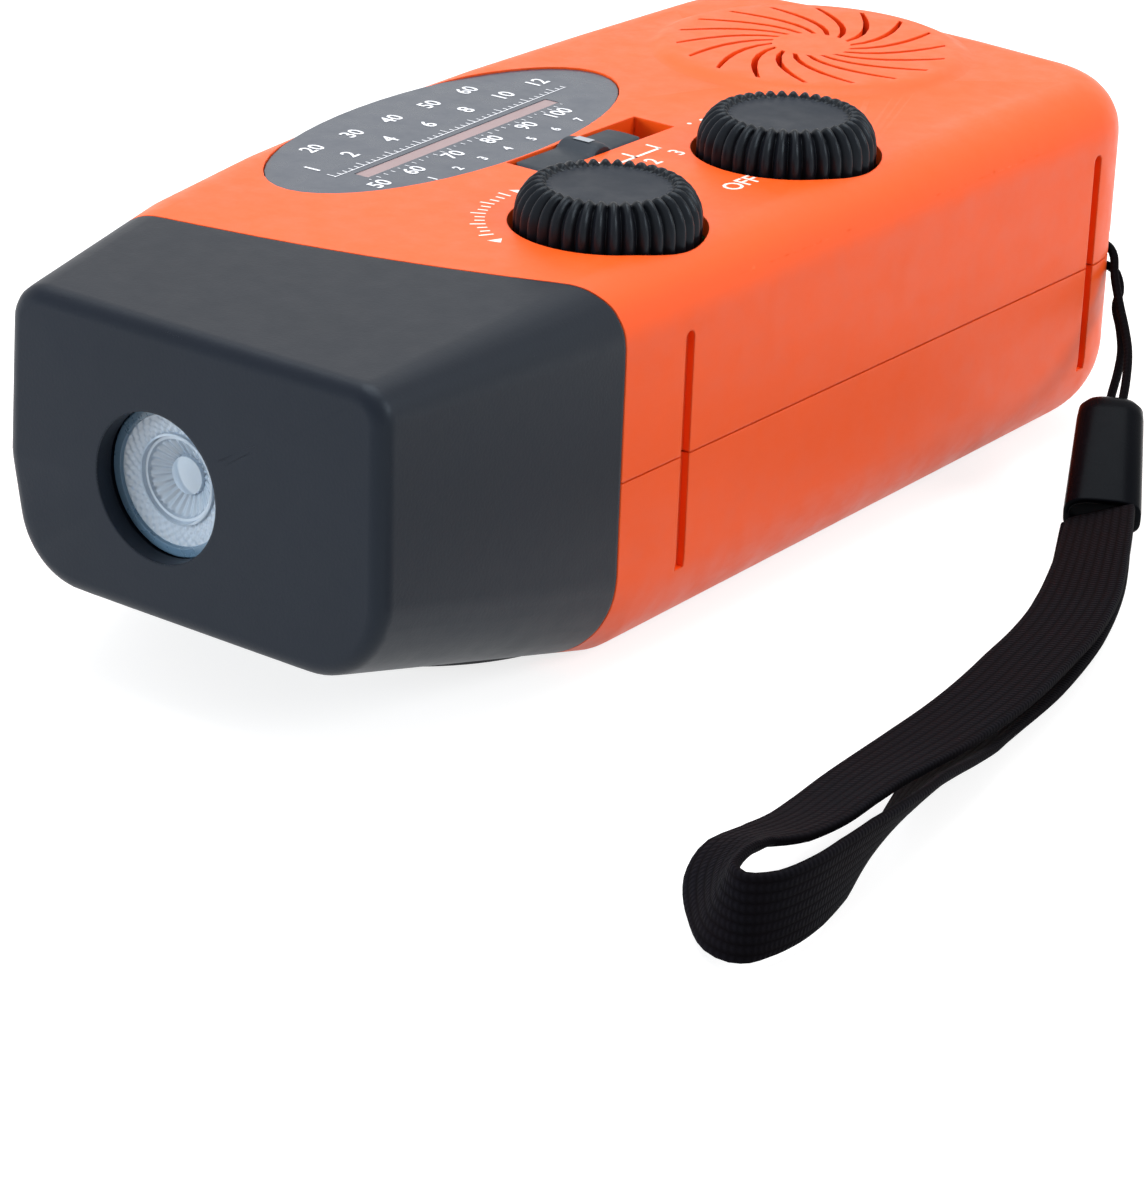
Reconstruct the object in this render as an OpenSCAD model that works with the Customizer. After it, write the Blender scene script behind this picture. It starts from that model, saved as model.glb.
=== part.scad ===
// Hand-crank emergency radio with a torch head.
// +Z leaves the front panel (dial, knobs, speaker), -Y is the torch end,
// +Y the speaker end, +X the flat side with the two grip grooves.
// The origin is the middle of the back face that the case lies on.

/* [Case] */
// Width over the flat side and the arched side
body_w = 62; // [60:0.5:70]
// Length from the torch face to the speaker end
body_l = 140; // [138:1:156]
// Height from the back face to the front panel
body_h = 41; // [41:0.5:46]
// Wall thickness of the case halves and the torch head
wall = 2; // [1.6:0.1:2.2]
// Radius of the long edges round the front panel
edge_top_r = 6.2; // [4:0.2:7]
// Radius of the long edges round the back face
edge_bot_r = 10; // [6:0.1:10.4]
// Plan radius of the corner next to the wrist-strap post
corner_right_r = 12; // [10:0.5:13]
// Plan radius of the other corner at the speaker end
corner_left_r = 13; // [11:0.5:14]
// How far the arched side pulls in at the torch face
arch_in = 13.8; // [8:0.2:16]
// Height of the joint line between the case halves
part_z = 20.8; // [19:0.2:21]
// Visible gap at the case joint lines
joint_gap = 0.2; // [0.1:0.05:0.3]
// Length of the locating lips inside the joint lines
lip_l = 4; // [3:0.5:5]
// Thickness of the locating lips
lip_t = 1.2; // [1:0.1:1.6]

/* [Torch head] */
// Head length along the flat side
head_len_flat = 36.6; // [32:0.2:40]
// Head length along the arched side
head_len_arch = 21.6; // [20:0.2:25]
// Bow of the joint between head and case
head_bow = 2.3; // [1:0.1:4]
// Rise of the underside at the torch face
head_rise = 9.5; // [6:0.5:10]
// Drop of the upper edge at the torch face
head_drop = 0.8; // [0.4:0.1:2]
// Edge radius of the torch face
face_edge_r = 1.8; // [1:0.1:2.5]
// Radius of the torch opening
lamp_r = 7.6; // [6.5:0.1:8.5]
// Torch axis, distance from the middle plane
lamp_x = 2.6; // [0:0.2:5]
// Torch axis, height above the back face
lamp_z = 23.6; // [23:0.2:26]
// Depth of the lens behind the torch face
lamp_inset = 2.4; // [2:0.1:4]
// Depth of the torch tube behind the face
lamp_depth = 13; // [12:0.5:14]

/* [Dial] */
// Half width of the oval dial plate
dial_a = 11.9; // [10:0.1:12.2]
// Half length of the oval dial plate
dial_b = 27.9; // [25:0.1:29]
// Dial centre, distance in from the arched side
dial_in = 16.2; // [15.8:0.1:18]
// Dial centre, distance behind the torch face
dial_back = 65.6; // [64:0.2:68]
// Turn of the dial that follows the arch
dial_tilt = 3; // [0:0.5:4]
// Thickness of the dial plate
dial_t = 1.2; // [1:0.1:1.6]
// Length of the clear strip in the dial
strip_l = 35; // [30:0.5:38]
// Width of the clear strip
strip_w = 1.8; // [1.4:0.1:2.4]
// Sideways place of the strip from the dial's long axis
strip_x = 2.7; // [1:0.1:3.5]
// Travel of the dial pointer
pointer_travel = 33; // [28:0.5:34]

/* [Controls] */
// Radius of the knob caps
knob_r = 9.6; // [8.5:0.1:9.8]
// Clearance between a knob and its hole
knob_gap = 0.6; // [0.4:0.1:0.8]
// Height of a knob's flat top above the panel
knob_rise = 4; // [3:0.1:5]
// Height of the rib crests above the knob's flat top
rib_rise = 0.5; // [0.2:0.1:0.8]
// Number of ribs on a knob
rib_count = 36; // [24:1:40]
// Tuning knob axis, distance in from the flat side
tune_in = 13.8; // [13:0.1:15]
// Tuning knob axis, distance behind the torch face
tune_back = 51.5; // [50:0.5:53]
// Volume knob axis, distance in from the flat side
vol_in = 14.4; // [13.5:0.1:15]
// Volume knob axis, distance behind the torch face
vol_back = 84; // [82:0.5:85]
// Radius of the knob stems
stem_r = 3; // [2.4:0.1:3.2]
// Width of the band-switch slot
slot_w = 5.4; // [4.6:0.1:6]
// Length of the band-switch slot
slot_l = 22.6; // [20:0.2:24]
// Distance between the slot and the dial plate
slot_gap = 0.4; // [0.3:0.1:1]
// Slot centre, distance behind the torch face
slot_back = 71.4; // [70:0.2:73]
// Length of the band slider
slider_l = 17.2; // [14:0.2:17.6]
// Step between two band positions
band_step = 2.4; // [1.5:0.1:2.4]
// Radius of the torch push button
button_r = 3.4; // [2.8:0.1:3.8]
// Travel of the torch push button
button_travel = 1; // [0.6:0.1:1.2]

/* [Speaker] */
// Speaker axis, distance from the middle plane towards the arched side
speaker_x = -2.9; // [-4:0.1:-1]
// Speaker axis, distance in from the speaker end
speaker_in = 22.7; // [22:0.1:24]
// Radius of the raised grille disc
grille_r = 16.5; // [14:0.5:17]
// Width of the sloped rim round the grille disc
grille_rim = 2.1; // [1.5:0.1:3]
// Height of the grille disc above the panel
grille_h = 0.8; // [0.4:0.1:1.2]
// Number of swirl slots
swirl_n = 18; // [12:1:20]
// Width of a swirl slot
swirl_w = 0.9; // [0.6:0.1:1.2]
// Radius of the plain hub
hub_r = 4.5; // [3.5:0.1:6]
// Radius of the speaker frame
speaker_r = 17.6; // [16:0.2:17.6]

/* [Grip grooves] */
// Distance of the first groove behind the torch face
groove_a = 47.2; // [44:0.2:50]
// Distance of the second groove from the speaker end
groove_b = 14.4; // [13:0.2:16]
// Groove width
groove_w = 1.5; // [1:0.1:2]
// Groove depth
groove_d = 0.9; // [0.5:0.1:1]
// Height at which the grooves start
groove_z0 = 8.4; // [7.5:0.1:10]
// Height at which the grooves end
groove_z1 = 34; // [30:0.2:34.4]

/* [Crank] */
// Radius of the crank drum
drum_r = 23.4; // [22:0.1:23.6]
// Wall of the crank drum
drum_wall = 1.4; // [1.2:0.1:1.6]
// Height of the crank drum
drum_h = 18.4; // [18.4:0.1:18.8]
// Drum axis, distance behind the torch face
drum_in = 42; // [41:0.5:43]
// Running gap round the drum
drum_gap = 0.4; // [0.3:0.05:0.5]
// Hinge line of the arm, distance from the drum axis
hinge_off = 18.4; // [17.5:0.1:18.6]
// Height of the hinge line above the back face
hinge_z = 2.4; // [2.3:0.05:2.5]
// Radius of the hinge barrel
barrel_r = 1.8; // [1.6:0.05:1.85]
// Radius of the hinge pin
hinge_pin_r = 1; // [0.8:0.05:1.1]
// Width of the crank arm
arm_w = 10; // [8:0.2:10.4]
// Thickness of the crank arm
arm_t = 3.2; // [2.6:0.1:3.3]
// Distance from the hinge line to the handle axis
arm_l = 30.5; // [28:0.2:30.8]
// Radius of the crank handle
handle_r = 5; // [4:0.1:5]
// Length of the crank handle
handle_h = 7.6; // [6.5:0.1:7.8]
// Radius of the handle pin
handle_pin_r = 1.5; // [1.2:0.1:1.8]
// Radius of the drum shaft
shaft_r = 4; // [3:0.1:4.5]
// Running clearance of shafts and pins
run_gap = 0.05; // [0.03:0.01:0.08]

/* [Gears] */
// Gear module
gear_m = 1; // [1:0.1:1]
// Teeth of the crank gear
gear_n = 40; // [40:1:40]
// Teeth of the idler's small wheel
idler_small_n = 12; // [12:1:12]
// Teeth of the idler's large wheel
idler_large_n = 30; // [30:1:30]
// Teeth of the generator pinion
pinion_n = 10; // [10:1:10]
// Thickness of the crank gear
gear_t = 3; // [2.4:0.1:3.2]
// Sideways place of the generator from the drum axis
gen_x = -8; // [-9:0.5:-7]
// Radius of the generator can
gen_r = 10; // [8:0.5:10]
// Height of the generator can
gen_h = 17.6; // [15:0.2:17.8]

/* [Power] */
// Radius of the battery cell
cell_r = 9; // [8:0.1:9]
// Distance of the battery cell behind the torch face
cell_back = 73.5; // [73:0.5:76]
// Distance of the battery cell from the speaker end
cell_end = 16.5; // [16:0.5:20]
// Battery axis, distance in from the flat side
cell_in = 12.5; // [12:0.1:13]
// Distance of the solar panel behind the torch face
solar_back = 58; // [56:0.5:60]
// Height of the solar panel's lower edge above the back face
solar_z = 8.2; // [7.5:0.1:9]
// Solar panel length
solar_l = 60; // [50:1:62]
// Solar panel height
solar_h = 15; // [12:0.5:15.5]
// Solar panel thickness
solar_t = 1.4; // [1:0.1:1.6]
// Height of the socket opening
port_h = 8.8; // [8.6:0.1:9]
// Width of the socket opening
port_w = 25.4; // [25:0.1:26]

/* [Antenna] */
// Radius of the antenna's outer tube
mast_r = 2.4; // [2.2:0.1:2.5]
// Length of the folded antenna tubes
mast_l = 56; // [50:1:58]
// Travel of each antenna section
mast_travel = 50; // [40:1:50]
// Wall of the antenna tubes
mast_wall = 0.4; // [0.3:0.05:0.45]
// Height of the antenna above the back face
mast_z = 30; // [29:0.2:30.4]

/* [Strap] */
// Radius of the wrist-strap post
post_r = 0.9; // [0.7:0.1:1.1]
// Radius of the pocket round the post
post_pocket_r = 3.4; // [3.2:0.1:3.6]
// Diameter of the strap string
string_d = 1; // [0.8:0.1:1.2]
// Width of the strap webbing
web_w = 9; // [8:0.5:9]
// Thickness of the strap webbing
web_t = 1.2; // [0.9:0.1:1.4]
// Width of the moulded strap clamp
clamp_w = 8.5; // [8.5:0.1:11]
// Thickness of the moulded strap clamp
clamp_t = 5.4; // [5:0.1:6]

/* [Hidden] */

orange = "orangered";
black = [0.13, 0.13, 0.15];
eps = 0.01;
big = 400;
xr = body_w / 2;
yf = -body_l / 2;
yr = body_l / 2;
zi = body_h - wall;
fit = 0.3;
lip_gap = 0.15;
$fn = 96;

// ---- outline of the case -------------------------------------------------
arch_puck_r = 8;
arch_y = [0.04, 0.19, 0.36, 0.53, 0.70, 0.83];
function arch_x(y) = let (u = max(0, (14 - y) / 84), v = max(0, (y - 14) / 44))
  -xr + arch_in * u * u + 1.1 * v * v;

// Disc with rounded rims; s is the inset towards the inside of the wall.
module puck(x, y, r, s) {
  rt = max(0.6, edge_top_r - s);
  rb = max(0.6, edge_bot_r - s);
  rr = r - s;
  c1 = max(0, rr - rt);
  c2 = max(0, rr - rb);
  h = body_h - s;
  translate([x, y, 0]) rotate_extrude($fn = 32) polygon(concat([[0, s]],
    [for (a = [0 : 18 : 90]) [c2 + (rr - c2) * sin(a), s + rb - rb * cos(a)]],
    [for (a = [90 : -18 : 0]) [c1 + (rr - c1) * sin(a), h - rt + rt * cos(a)]], [[0, h]]));
}

// Disc that stands on edge and forms one corner of the torch face.
module face_puck(x, z, r, s) {
  e = max(0.3, face_edge_r - s);
  rr = max(0.8, r - s);
  translate([x, yf + s, z]) rotate([-90, 0, 0]) rotate_extrude($fn = 32)
    polygon(concat([[0, 0]], [for (a = [0 : 22.5 : 90]) [rr - e + e * sin(a), e - e * cos(a)]],
      [[rr, e + 0.6], [0, e + 0.6]]));
}

module body_shape(s) {
  face_l = arch_x(yf);
  face_t = body_h - head_drop;
  hull() {
    for (k = arch_y) let (y = yf + 24 + k * (body_l - 24))
      puck(arch_x(y) + arch_puck_r, y, arch_puck_r, s);
    puck(xr - arch_puck_r, yf + 40, arch_puck_r, s);
    puck(xr - corner_right_r, yr - 1.4 - corner_right_r, corner_right_r, s);
    puck(arch_x(yr - 15) + corner_left_r, yr - 1.9 - corner_left_r, corner_left_r, s);
    puck(-3, yr - corner_left_r, corner_left_r, s);
    puck(8, yr - 0.4 - corner_left_r, corner_left_r, s);
    face_puck(face_l + 4.6, face_t - 4, 4, s);
    face_puck(xr - 4.2, face_t - 3.6, 3.6, s);
    face_puck(face_l + 9, head_rise + 8, 8, s);
    face_puck(xr - 9.9, head_rise + 9.5, 9.5, s);
    face_puck(face_l + 5, body_h * 0.55, 5, s);
  }
}

// ---- joint between the head and the case: a large upright cylinder --------
ja = [xr, yf + head_len_flat];
jb = [-xr + 6.5, yf + head_len_arch];
jc = norm(ja - jb);
jn = [-(ja[1] - jb[1]), ja[0] - jb[0]] / jc;
jr = (jc * jc / 4 + head_bow * head_bow) / (2 * head_bow);
jp = (ja + jb) / 2 + jn * (jr - head_bow);
module seam(d, z0 = -1, z1 = body_h + 3) {
  translate([jp[0], jp[1], z0]) cylinder(h = z1 - z0, r = jr + d, $fn = 400);
}
module slab(z0, z1) {
  translate([-big / 2, -big / 2, z0]) cube([big, big, z1 - z0]);
}

// ---- shared places ---------------------------------------------------------
drum_y = yf + drum_in;
drum_z0 = 0.6;
drum_top = drum_z0 + drum_h;
well_r = drum_r + drum_gap;
well_z = drum_top + drum_gap;
well_wall = 1.5;
well_top = well_z + 1.6;
gear_z = well_top + drum_gap;
gear_rp = gear_m * gear_n / 2;
idler_rp = gear_m * idler_small_n / 2;
large_rp = gear_m * idler_large_n / 2;
pin_rp = gear_m * pinion_n / 2;
train = gear_rp + idler_rp + large_rp + pin_rp;
train_a = asin(gen_x / train);
idler_p = [(gear_rp + idler_rp) * sin(train_a), drum_y + (gear_rp + idler_rp) * cos(train_a)];
gen_p = [gen_x, drum_y + train * cos(train_a)];
idler_z = gear_z + gear_t + 0.4;
idler_t = 2.4;
board_z = idler_z + idler_t + 2;
board_t = 1.6;
board_top = board_z + board_t;
idler_axle_r = 1.5;
dial_x = -xr + dial_in;
dial_y = yf + dial_back;
tune_p = [xr - tune_in, yf + tune_back];
vol_p = [xr - vol_in, yf + vol_back];
slot_p = [dial_x + dial_a + slot_gap + slot_w / 2, yf + slot_back];
speaker_p = [speaker_x, yr - speaker_in];
knob_z0 = zi - 2.6;
screw_r = 1.25;
boss_r = 3;
screw_at = [tune_p + [4.8, 15.5], gen_p + (gen_r + 3.5) * [cos(205), sin(205)],
  speaker_p + (speaker_r + 5.2) * [cos(29.5), sin(29.5)], speaker_p + (speaker_r + 3.7) * [cos(143.5), sin(143.5)]];
strap_c = [xr - corner_right_r, yr - 1.4 - corner_right_r];
strap_a = 36;
post_p = strap_c + (corner_right_r - 2.6) * [cos(strap_a), sin(strap_a)];
pocket_h = 5;
mast_x = -xr + 4.8;
mast_y0 = yf + 68;
solar_y = yf + solar_back;
cell_y0 = yf + cell_back;
cell_l = yr - cell_end - cell_y0;
chan_r = mast_r + 0.5;
gang_t = 3.2;
belt_z = board_top + gang_t + 0.8;
belt_t = 0.6;
groove_r = 5.3;
carriage_z = belt_z + belt_t + 1;
port_x = -1.6;
port_z = 8.5;
face_in = yr - 3.2;

module at_dial() { translate([dial_x, dial_y, 0]) rotate([0, 0, dial_tilt]) children(); }
module oval(a, b, z0, z1) {
  at_dial() translate([0, 0, z0]) linear_extrude(z1 - z0)
    polygon([for (i = [0 : 47]) [a * cos(i * 7.5), b * sin(i * 7.5)]]);
}
module pillar(p, z0, z1, r) { translate([p[0], p[1], z0]) cylinder(h = z1 - z0, r = r, $fn = 48); }
module box(lo, hi) { translate(lo) cube(hi - lo); }

// Gear outline: m module, n teeth; flanks are straight with running backlash.
function gear_pts(n) = let (rp = gear_m * n / 2, ap = 76.5 / n)
  [for (i = [0 : n - 1]) for (q = [[rp - 1.05 * gear_m, -1.5 * ap], [rp + 0.75 * gear_m, -0.45 * ap],
    [rp + 0.75 * gear_m, 0.45 * ap], [rp - 1.05 * gear_m, 1.5 * ap]])
    [q[0] * cos(360 / n * i + q[1]), q[0] * sin(360 / n * i + q[1])]];
module gear(n, t, bore) {
  difference() {
    linear_extrude(t) polygon(gear_pts(n));
    translate([0, 0, -1]) cylinder(h = t + 2, r = bore, $fn = 48);
  }
}

// ---- case halves -----------------------------------------------------------
module shell(z0, z1) {
  intersection() {
    difference() { body_shape(0); body_shape(wall); }
    seam(0);
    slab(z0, z1);
  }
}

// Ring inside the joint line: full against its own wall below, clear of the other wall above.
module lip_ring(s) {
  difference() { body_shape(s); body_shape(wall + lip_gap + lip_t); }
}

module swirl_slot() {
  r0 = hub_r;
  r1 = grille_r - 1;
  n = 6;
  function p(t, d) = let (r = r0 + (r1 - r0) * t, a = 58 * t * (1 - 0.28 * t)) [r * cos(a) - d * sin(a), r * sin(a) + d * cos(a)];
  function half(t) = swirl_w / 2 * (0.35 + 0.65 * sqrt(max(0, sin(180 * (0.06 + 0.88 * t)))));
  linear_extrude(10) polygon(concat([for (i = [0 : n]) p(i / n, half(i / n))],
    [for (i = [n : -1 : 0]) p(i / n, -half(i / n))]));
}

module strap_pocket() {
  pillar(post_p, part_z - pocket_h / 2, part_z + pocket_h / 2, post_pocket_r);
}

module antenna_channel() {
  box([-xr - 5, mast_y0 - chan_r, mast_z - chan_r], [mast_x + chan_r, yr + 5, mast_z + chan_r]);
}

module solar_cut(d, x1) {
  box([-xr - 5, solar_y - d, solar_z - d], [x1, solar_y + solar_l + d, solar_z + solar_h + d]);
}

module port_cut(d, y0, y1) {
  box([port_x - port_w / 2 + d, y0, port_z + d], [port_x + port_w / 2 - d, y1, port_z + port_h - d]);
}

module front_case() color(orange) difference() {
  union() {
    shell(part_z + joint_gap / 2, body_h + 1);
    intersection() {
      body_shape(0);
      box([-xr - 1, mast_y0 - chan_r - 2, part_z + 3], [mast_x + chan_r + 1.4, yr + 1, mast_z + chan_r + 1.6]);
    }
    translate([speaker_p[0], speaker_p[1], body_h - eps])
      cylinder(h = grille_h + eps, r1 = grille_r + grille_rim, r2 = grille_r + 0.2);
    difference() {
      pillar(speaker_p, zi - 4, zi + eps, speaker_r + 1.5);
      pillar(speaker_p, zi - 5, zi + 1, speaker_r + fit);
    }
    for (i = [0 : 3]) pillar(screw_at[i], i == 0 ? board_top : part_z + joint_gap / 2, zi + eps, boss_r);
    pillar(post_p + [-2, -1.5], part_z + joint_gap / 2, part_z + pocket_h / 2 + 4, 5);
    translate([slot_p[0], slot_p[1], zi - 2.4 + 1.2]) cube([slot_w + 2.4, slot_l + 2.4, 2.4 + eps], center = true);
    at_dial() for (k = [-1, 1]) {
      translate([strip_x, 0, 0]) scale_rail(k);
    }
  }
  oval(dial_a + 0.15, dial_b + 0.15, body_h - dial_t - 0.2, body_h + 2);
  at_dial() translate([strip_x, -1.5, 0]) box([-2.2, -strip_l / 2 - 2, zi - 1], [2.2, strip_l / 2 + 2, body_h]);
  pillar(tune_p, zi - 4, body_h + 1, knob_r + knob_gap);
  pillar(vol_p, zi - 4, body_h + 1, knob_r + knob_gap);
  translate([slot_p[0], slot_p[1], body_h - 4]) cube([slot_w, slot_l, 12], center = true);
  translate([speaker_p[0], speaker_p[1], zi - 1]) for (i = [0 : swirl_n - 1])
    rotate([0, 0, i * 360 / swirl_n]) swirl_slot();
  grooves();
  antenna_channel();
  solar_cut(0.2, -xr + 5);
  translate([-xr - 1, button_y, button_z]) rotate([0, 90, 0])
    cylinder(h = 12, r = button_r + 0.15, $fn = 48);
  strap_pocket();
  pillar(post_p, part_z - 1, part_z + pocket_h / 2 + 3, post_r + 0.02);
  pillar([mast_x, mast_y0], part_z + 4, mast_z + chan_r + 1.7, 1.02);
  for (i = [0 : 3]) pillar(screw_at[i], part_z - 1, zi - 1.5, screw_r);
}

module scale_rail(k) {
  l = pointer_travel + 11;
  translate([k > 0 ? 3.6 : -5, -l / 2 - 1.6, carriage_z - 0.8]) cube([1.4, l, zi - carriage_z + 0.8 + eps]);
  translate([k > 0 ? 2.7 : -5, -l / 2 - 1.6, carriage_z - 0.8]) cube([2.3, l, 0.65]);
}

module grooves() {
  for (y = [yf + groove_a, yr - groove_b]) {
    box([xr - groove_d, y - groove_w / 2, groove_z0], [xr + 3, y + groove_w / 2, groove_z1 - groove_w / 2]);
    translate([xr - groove_d, y, groove_z1 - groove_w / 2]) rotate([0, 90, 0])
      cylinder(h = 4, r = groove_w / 2, $fn = 32);
  }
}

module back_case() color(orange) difference() {
  union() {
    shell(-1, part_z - joint_gap / 2);
    difference() {
      intersection() {
        union() {
          intersection() { lip_ring(wall - 0.05); slab(part_z - lip_l, part_z - joint_gap / 2); }
          intersection() { lip_ring(wall + lip_gap); slab(part_z - 1, part_z + 2); }
        }
        seam(-wall - lip_l - 1.4);
      }
      pillar(post_p + [-2, -1.5], part_z, part_z + 3, 5.3);
      for (p = screw_at) pillar(p, part_z, part_z + 3, boss_r + 0.3);
    }
    intersection() {
      body_shape(0);
      pillar([0, drum_y], 0, well_top, well_r + well_wall);
      seam(0);
    }
    pillar(idler_p, wall - eps, gear_z - 0.4, 3.5);
    difference() {
      pillar(gen_p, wall - eps, 11, gen_r + 0.2 + 1.5);
      pillar(gen_p, wall + 0.1, 12, gen_r + 0.2);
    }
    for (i = [0 : 3]) pillar(screw_at[i], wall - eps, i == 0 ? board_z : part_z - joint_gap / 2, boss_r);
    pillar(post_p + [-2, -1.5], part_z - pocket_h / 2 - 4, part_z - joint_gap / 2, 5);
    for (y = [cell_y0 - 0.3 - 1.6, cell_y0 + cell_l + 0.3])
      box([xr - cell_in - cell_r, y, wall - eps], [xr - cell_in + cell_r - 0.5, y + 1.6, 14]);
    for (x = [port_x - 10, port_x + 8.5]) pillar([x, yr - 14.5], wall - eps, port_z - 1.6, 1.8);
  }
  pillar([0, drum_y], -1, well_z, well_r);
  pillar([0, drum_y], well_z - 1, well_top + 1, shaft_r + run_gap);
  pillar(idler_p, well_z + 0.2, gear_z, idler_axle_r + 0.02);
  port_cut(0, yr - 12, yr + 2);
  grooves();
  solar_cut(0.2, -xr + 5);
  strap_pocket();
  pillar(post_p, part_z - pocket_h / 2 - 3, part_z + 1, post_r + 0.02);
  for (i = [0 : 3]) {
    pillar(screw_at[i], -1, board_z + 1, screw_r + 0.35);
    pillar(screw_at[i], -1, 3, 2.3);
  }
}

// ---- torch head --------------------------------------------------------------
module lamp_head() color(black) difference() {
  union() {
    difference() {
      intersection() { difference() { body_shape(0); body_shape(wall); } slab(-1, body_h + 1); }
      seam(joint_gap);
    }
    difference() {
      intersection() {
        union() {
          difference() { lip_ring(wall - 0.05); seam(joint_gap); }
          difference() { lip_ring(wall + lip_gap); seam(-lip_l); }
        }
        seam(joint_gap + 1.5);
        translate([-xr, yf, -1]) cube([body_w, 60, body_h + 2]);
      }
      pillar([0, drum_y], -1, well_top + 0.2, well_r + well_wall + 0.2);
    }
    intersection() {
      translate([lamp_x, yf + wall - eps, lamp_z]) rotate([-90, 0, 0])
        cylinder(h = lamp_depth - wall, r = lamp_r + 2, $fn = 64);
      slab(0, body_h);
    }
    difference() {
      intersection() { body_shape(0.4); pillar([0, drum_y], 0, well_top, well_r + well_wall); }
      seam(joint_gap);
    }
  }
  translate([lamp_x, yf - 1, lamp_z]) rotate([-90, 0, 0]) cylinder(h = wall + 2, r = lamp_r, $fn = 64);
  translate([lamp_x, yf + wall, lamp_z]) rotate([-90, 0, 0]) cylinder(h = 20, r = lamp_r + 0.4, $fn = 64);
  pillar([0, drum_y], -1, well_z, well_r);
}

module on_lamp(y) { translate([lamp_x, yf + y, lamp_z]) rotate([-90, 0, 0]) children(); }

// Solid optic: a flat front with a shallow dish, tapering back to the emitter.
module lamp_lens() color([0.85, 0.9, 0.95, 0.5]) on_lamp(lamp_inset) rotate_extrude($fn = 48) polygon([
  [0, 0.9], [2.2, 0.6], [2.6, 0], [lamp_r - 0.5, 0], [lamp_r + 0.1, 0.6], [lamp_r + 0.1, 1.6],
  [lamp_r - 0.9, 1.9], [3.6, 7.4], [2.4, 7.4], [2.4, 5], [0, 4.4]]);

// Bright cup round the optic, closed by the floor that carries the emitter.
module lamp_cup() color([0.75, 0.75, 0.78]) on_lamp(lamp_inset + 2) rotate_extrude($fn = 48) polygon([
  [lamp_r - 0.5, 0.1], [lamp_r + 0.2, 0.1], [lamp_r + 0.2, 7.6], [0, 7.6], [0, 6.6], [3.9, 6.6], [3.9, 5.6]]);

module lamp_led() color("gold") on_lamp(lamp_inset + 2) rotate_extrude($fn = 32) polygon([
  [0, 4.4], [1.1, 4.7], [1.6, 5.4], [1.7, 6], [2.3, 6], [2.3, 6.6], [0, 6.6]]);

// ---- dial ----------------------------------------------------------------------
module dial_window() color([0.3, 0.3, 0.33]) difference() {
  oval(dial_a, dial_b, body_h - dial_t - 0.2, body_h - 0.2);
  at_dial() translate([strip_x, -1.5, 0])
    box([-strip_w / 2, -strip_l / 2, body_h - 3], [strip_w / 2, strip_l / 2, body_h + 1]);
}

module dial_strip() color([0.9, 0.85, 0.85]) at_dial() translate([strip_x, -1.5, 0])
  box([-strip_w / 2 + 0.02, -strip_l / 2 + 0.02, body_h - dial_t - 0.2],
    [strip_w / 2 - 0.02, strip_l / 2 - 0.02, body_h - 0.25]);

pointer_y = -strip_l / 2 - 1.6 + -1.5;
module dial_pointer() color("red") at_dial() translate([strip_x, pointer_y, 0]) {
  box([-3.4, -3, carriage_z], [3.4, 3, zi - 0.2]);
  box([-1.5, -2, belt_z + belt_t + 0.15], [1.5, 2, carriage_z + eps]);
  box([-2, -0.35, zi - 0.2 - eps], [2, 0.35, body_h - dial_t - 0.5]);
}

// Cord loop round the tuning drum and three pulleys, laid out in the dial's own axes.
function to_dial(p) = let (d = [p[0] - dial_x, p[1] - dial_y])
  [d[0] * cos(dial_tilt) + d[1] * sin(dial_tilt), d[1] * cos(dial_tilt) - d[0] * sin(dial_tilt)];
pulley_r = 2.6;
loop_r = pulley_r + 0.4;
wrap_r = groove_r + 0.4;
drum_d = to_dial(tune_p);
pulley_a = [strip_x + loop_r, pointer_y - 2.4];
pulley_b = [strip_x + loop_r, pointer_y + pointer_travel + 9];
pulley_c = [strip_x + 3 * loop_r, drum_d[1] + wrap_r + loop_r];
module cord_outline(d) {
  hull() {
    translate(drum_d) circle(r = wrap_r + d, $fn = 48);
    translate(pulley_a) circle(r = loop_r + d, $fn = 32);
  }
  hull() for (p = [pulley_a, pulley_b]) translate(p) circle(r = loop_r + d, $fn = 32);
  translate(pulley_a) square([drum_d[0] - pulley_a[0], drum_d[1] + wrap_r + d - pulley_a[1]]);
  difference() {
    translate([pulley_a[0], drum_d[1]]) square([2 * loop_r, wrap_r + loop_r]);
    translate(pulley_c) circle(r = loop_r - d, $fn = 32);
  }
}
module dial_cord() color("dimgray") at_dial() translate([0, 0, belt_z]) linear_extrude(belt_t)
  difference() { cord_outline(0.3); cord_outline(-0.3); }

module pulley(p) color("ivory") at_dial() {
  pillar(p, board_top, belt_z - 0.4, 1.6);
  pillar(p, belt_z - 0.4 - eps, belt_z - 0.1, pulley_r + 0.9);
  pillar(p, belt_z - 0.1 - eps, belt_z + belt_t + 0.05, pulley_r);
}
module pulley_front() pulley(pulley_a);
module pulley_rear() pulley(pulley_b);
module pulley_side() pulley(pulley_c);

// ---- knobs -------------------------------------------------------------------
knob_top = body_h + knob_rise;
crest_z = knob_top + rib_rise;
module knob_profile(d, crest) {
  r = knob_r - d;
  z = crest ? crest_z : knob_top;
  polygon(concat([[0, knob_z0], [r - 0.8, knob_z0], [r, knob_z0 + 0.8], [r, body_h + 0.4]],
    [for (a = [15 : 15 : 75]) [knob_r * 0.6 + (r - knob_r * 0.6) * cos(a), body_h + 0.4 + (z - body_h - 0.4) * sin(a)]],
    crest ? [[knob_r * 0.6, z], [knob_r * 0.55, z - 0.1], [knob_r * 0.54, knob_top - 0.2], [0, knob_top - 0.2]]
          : [[knob_r * 0.6, z], [0, z]]));
}

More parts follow.
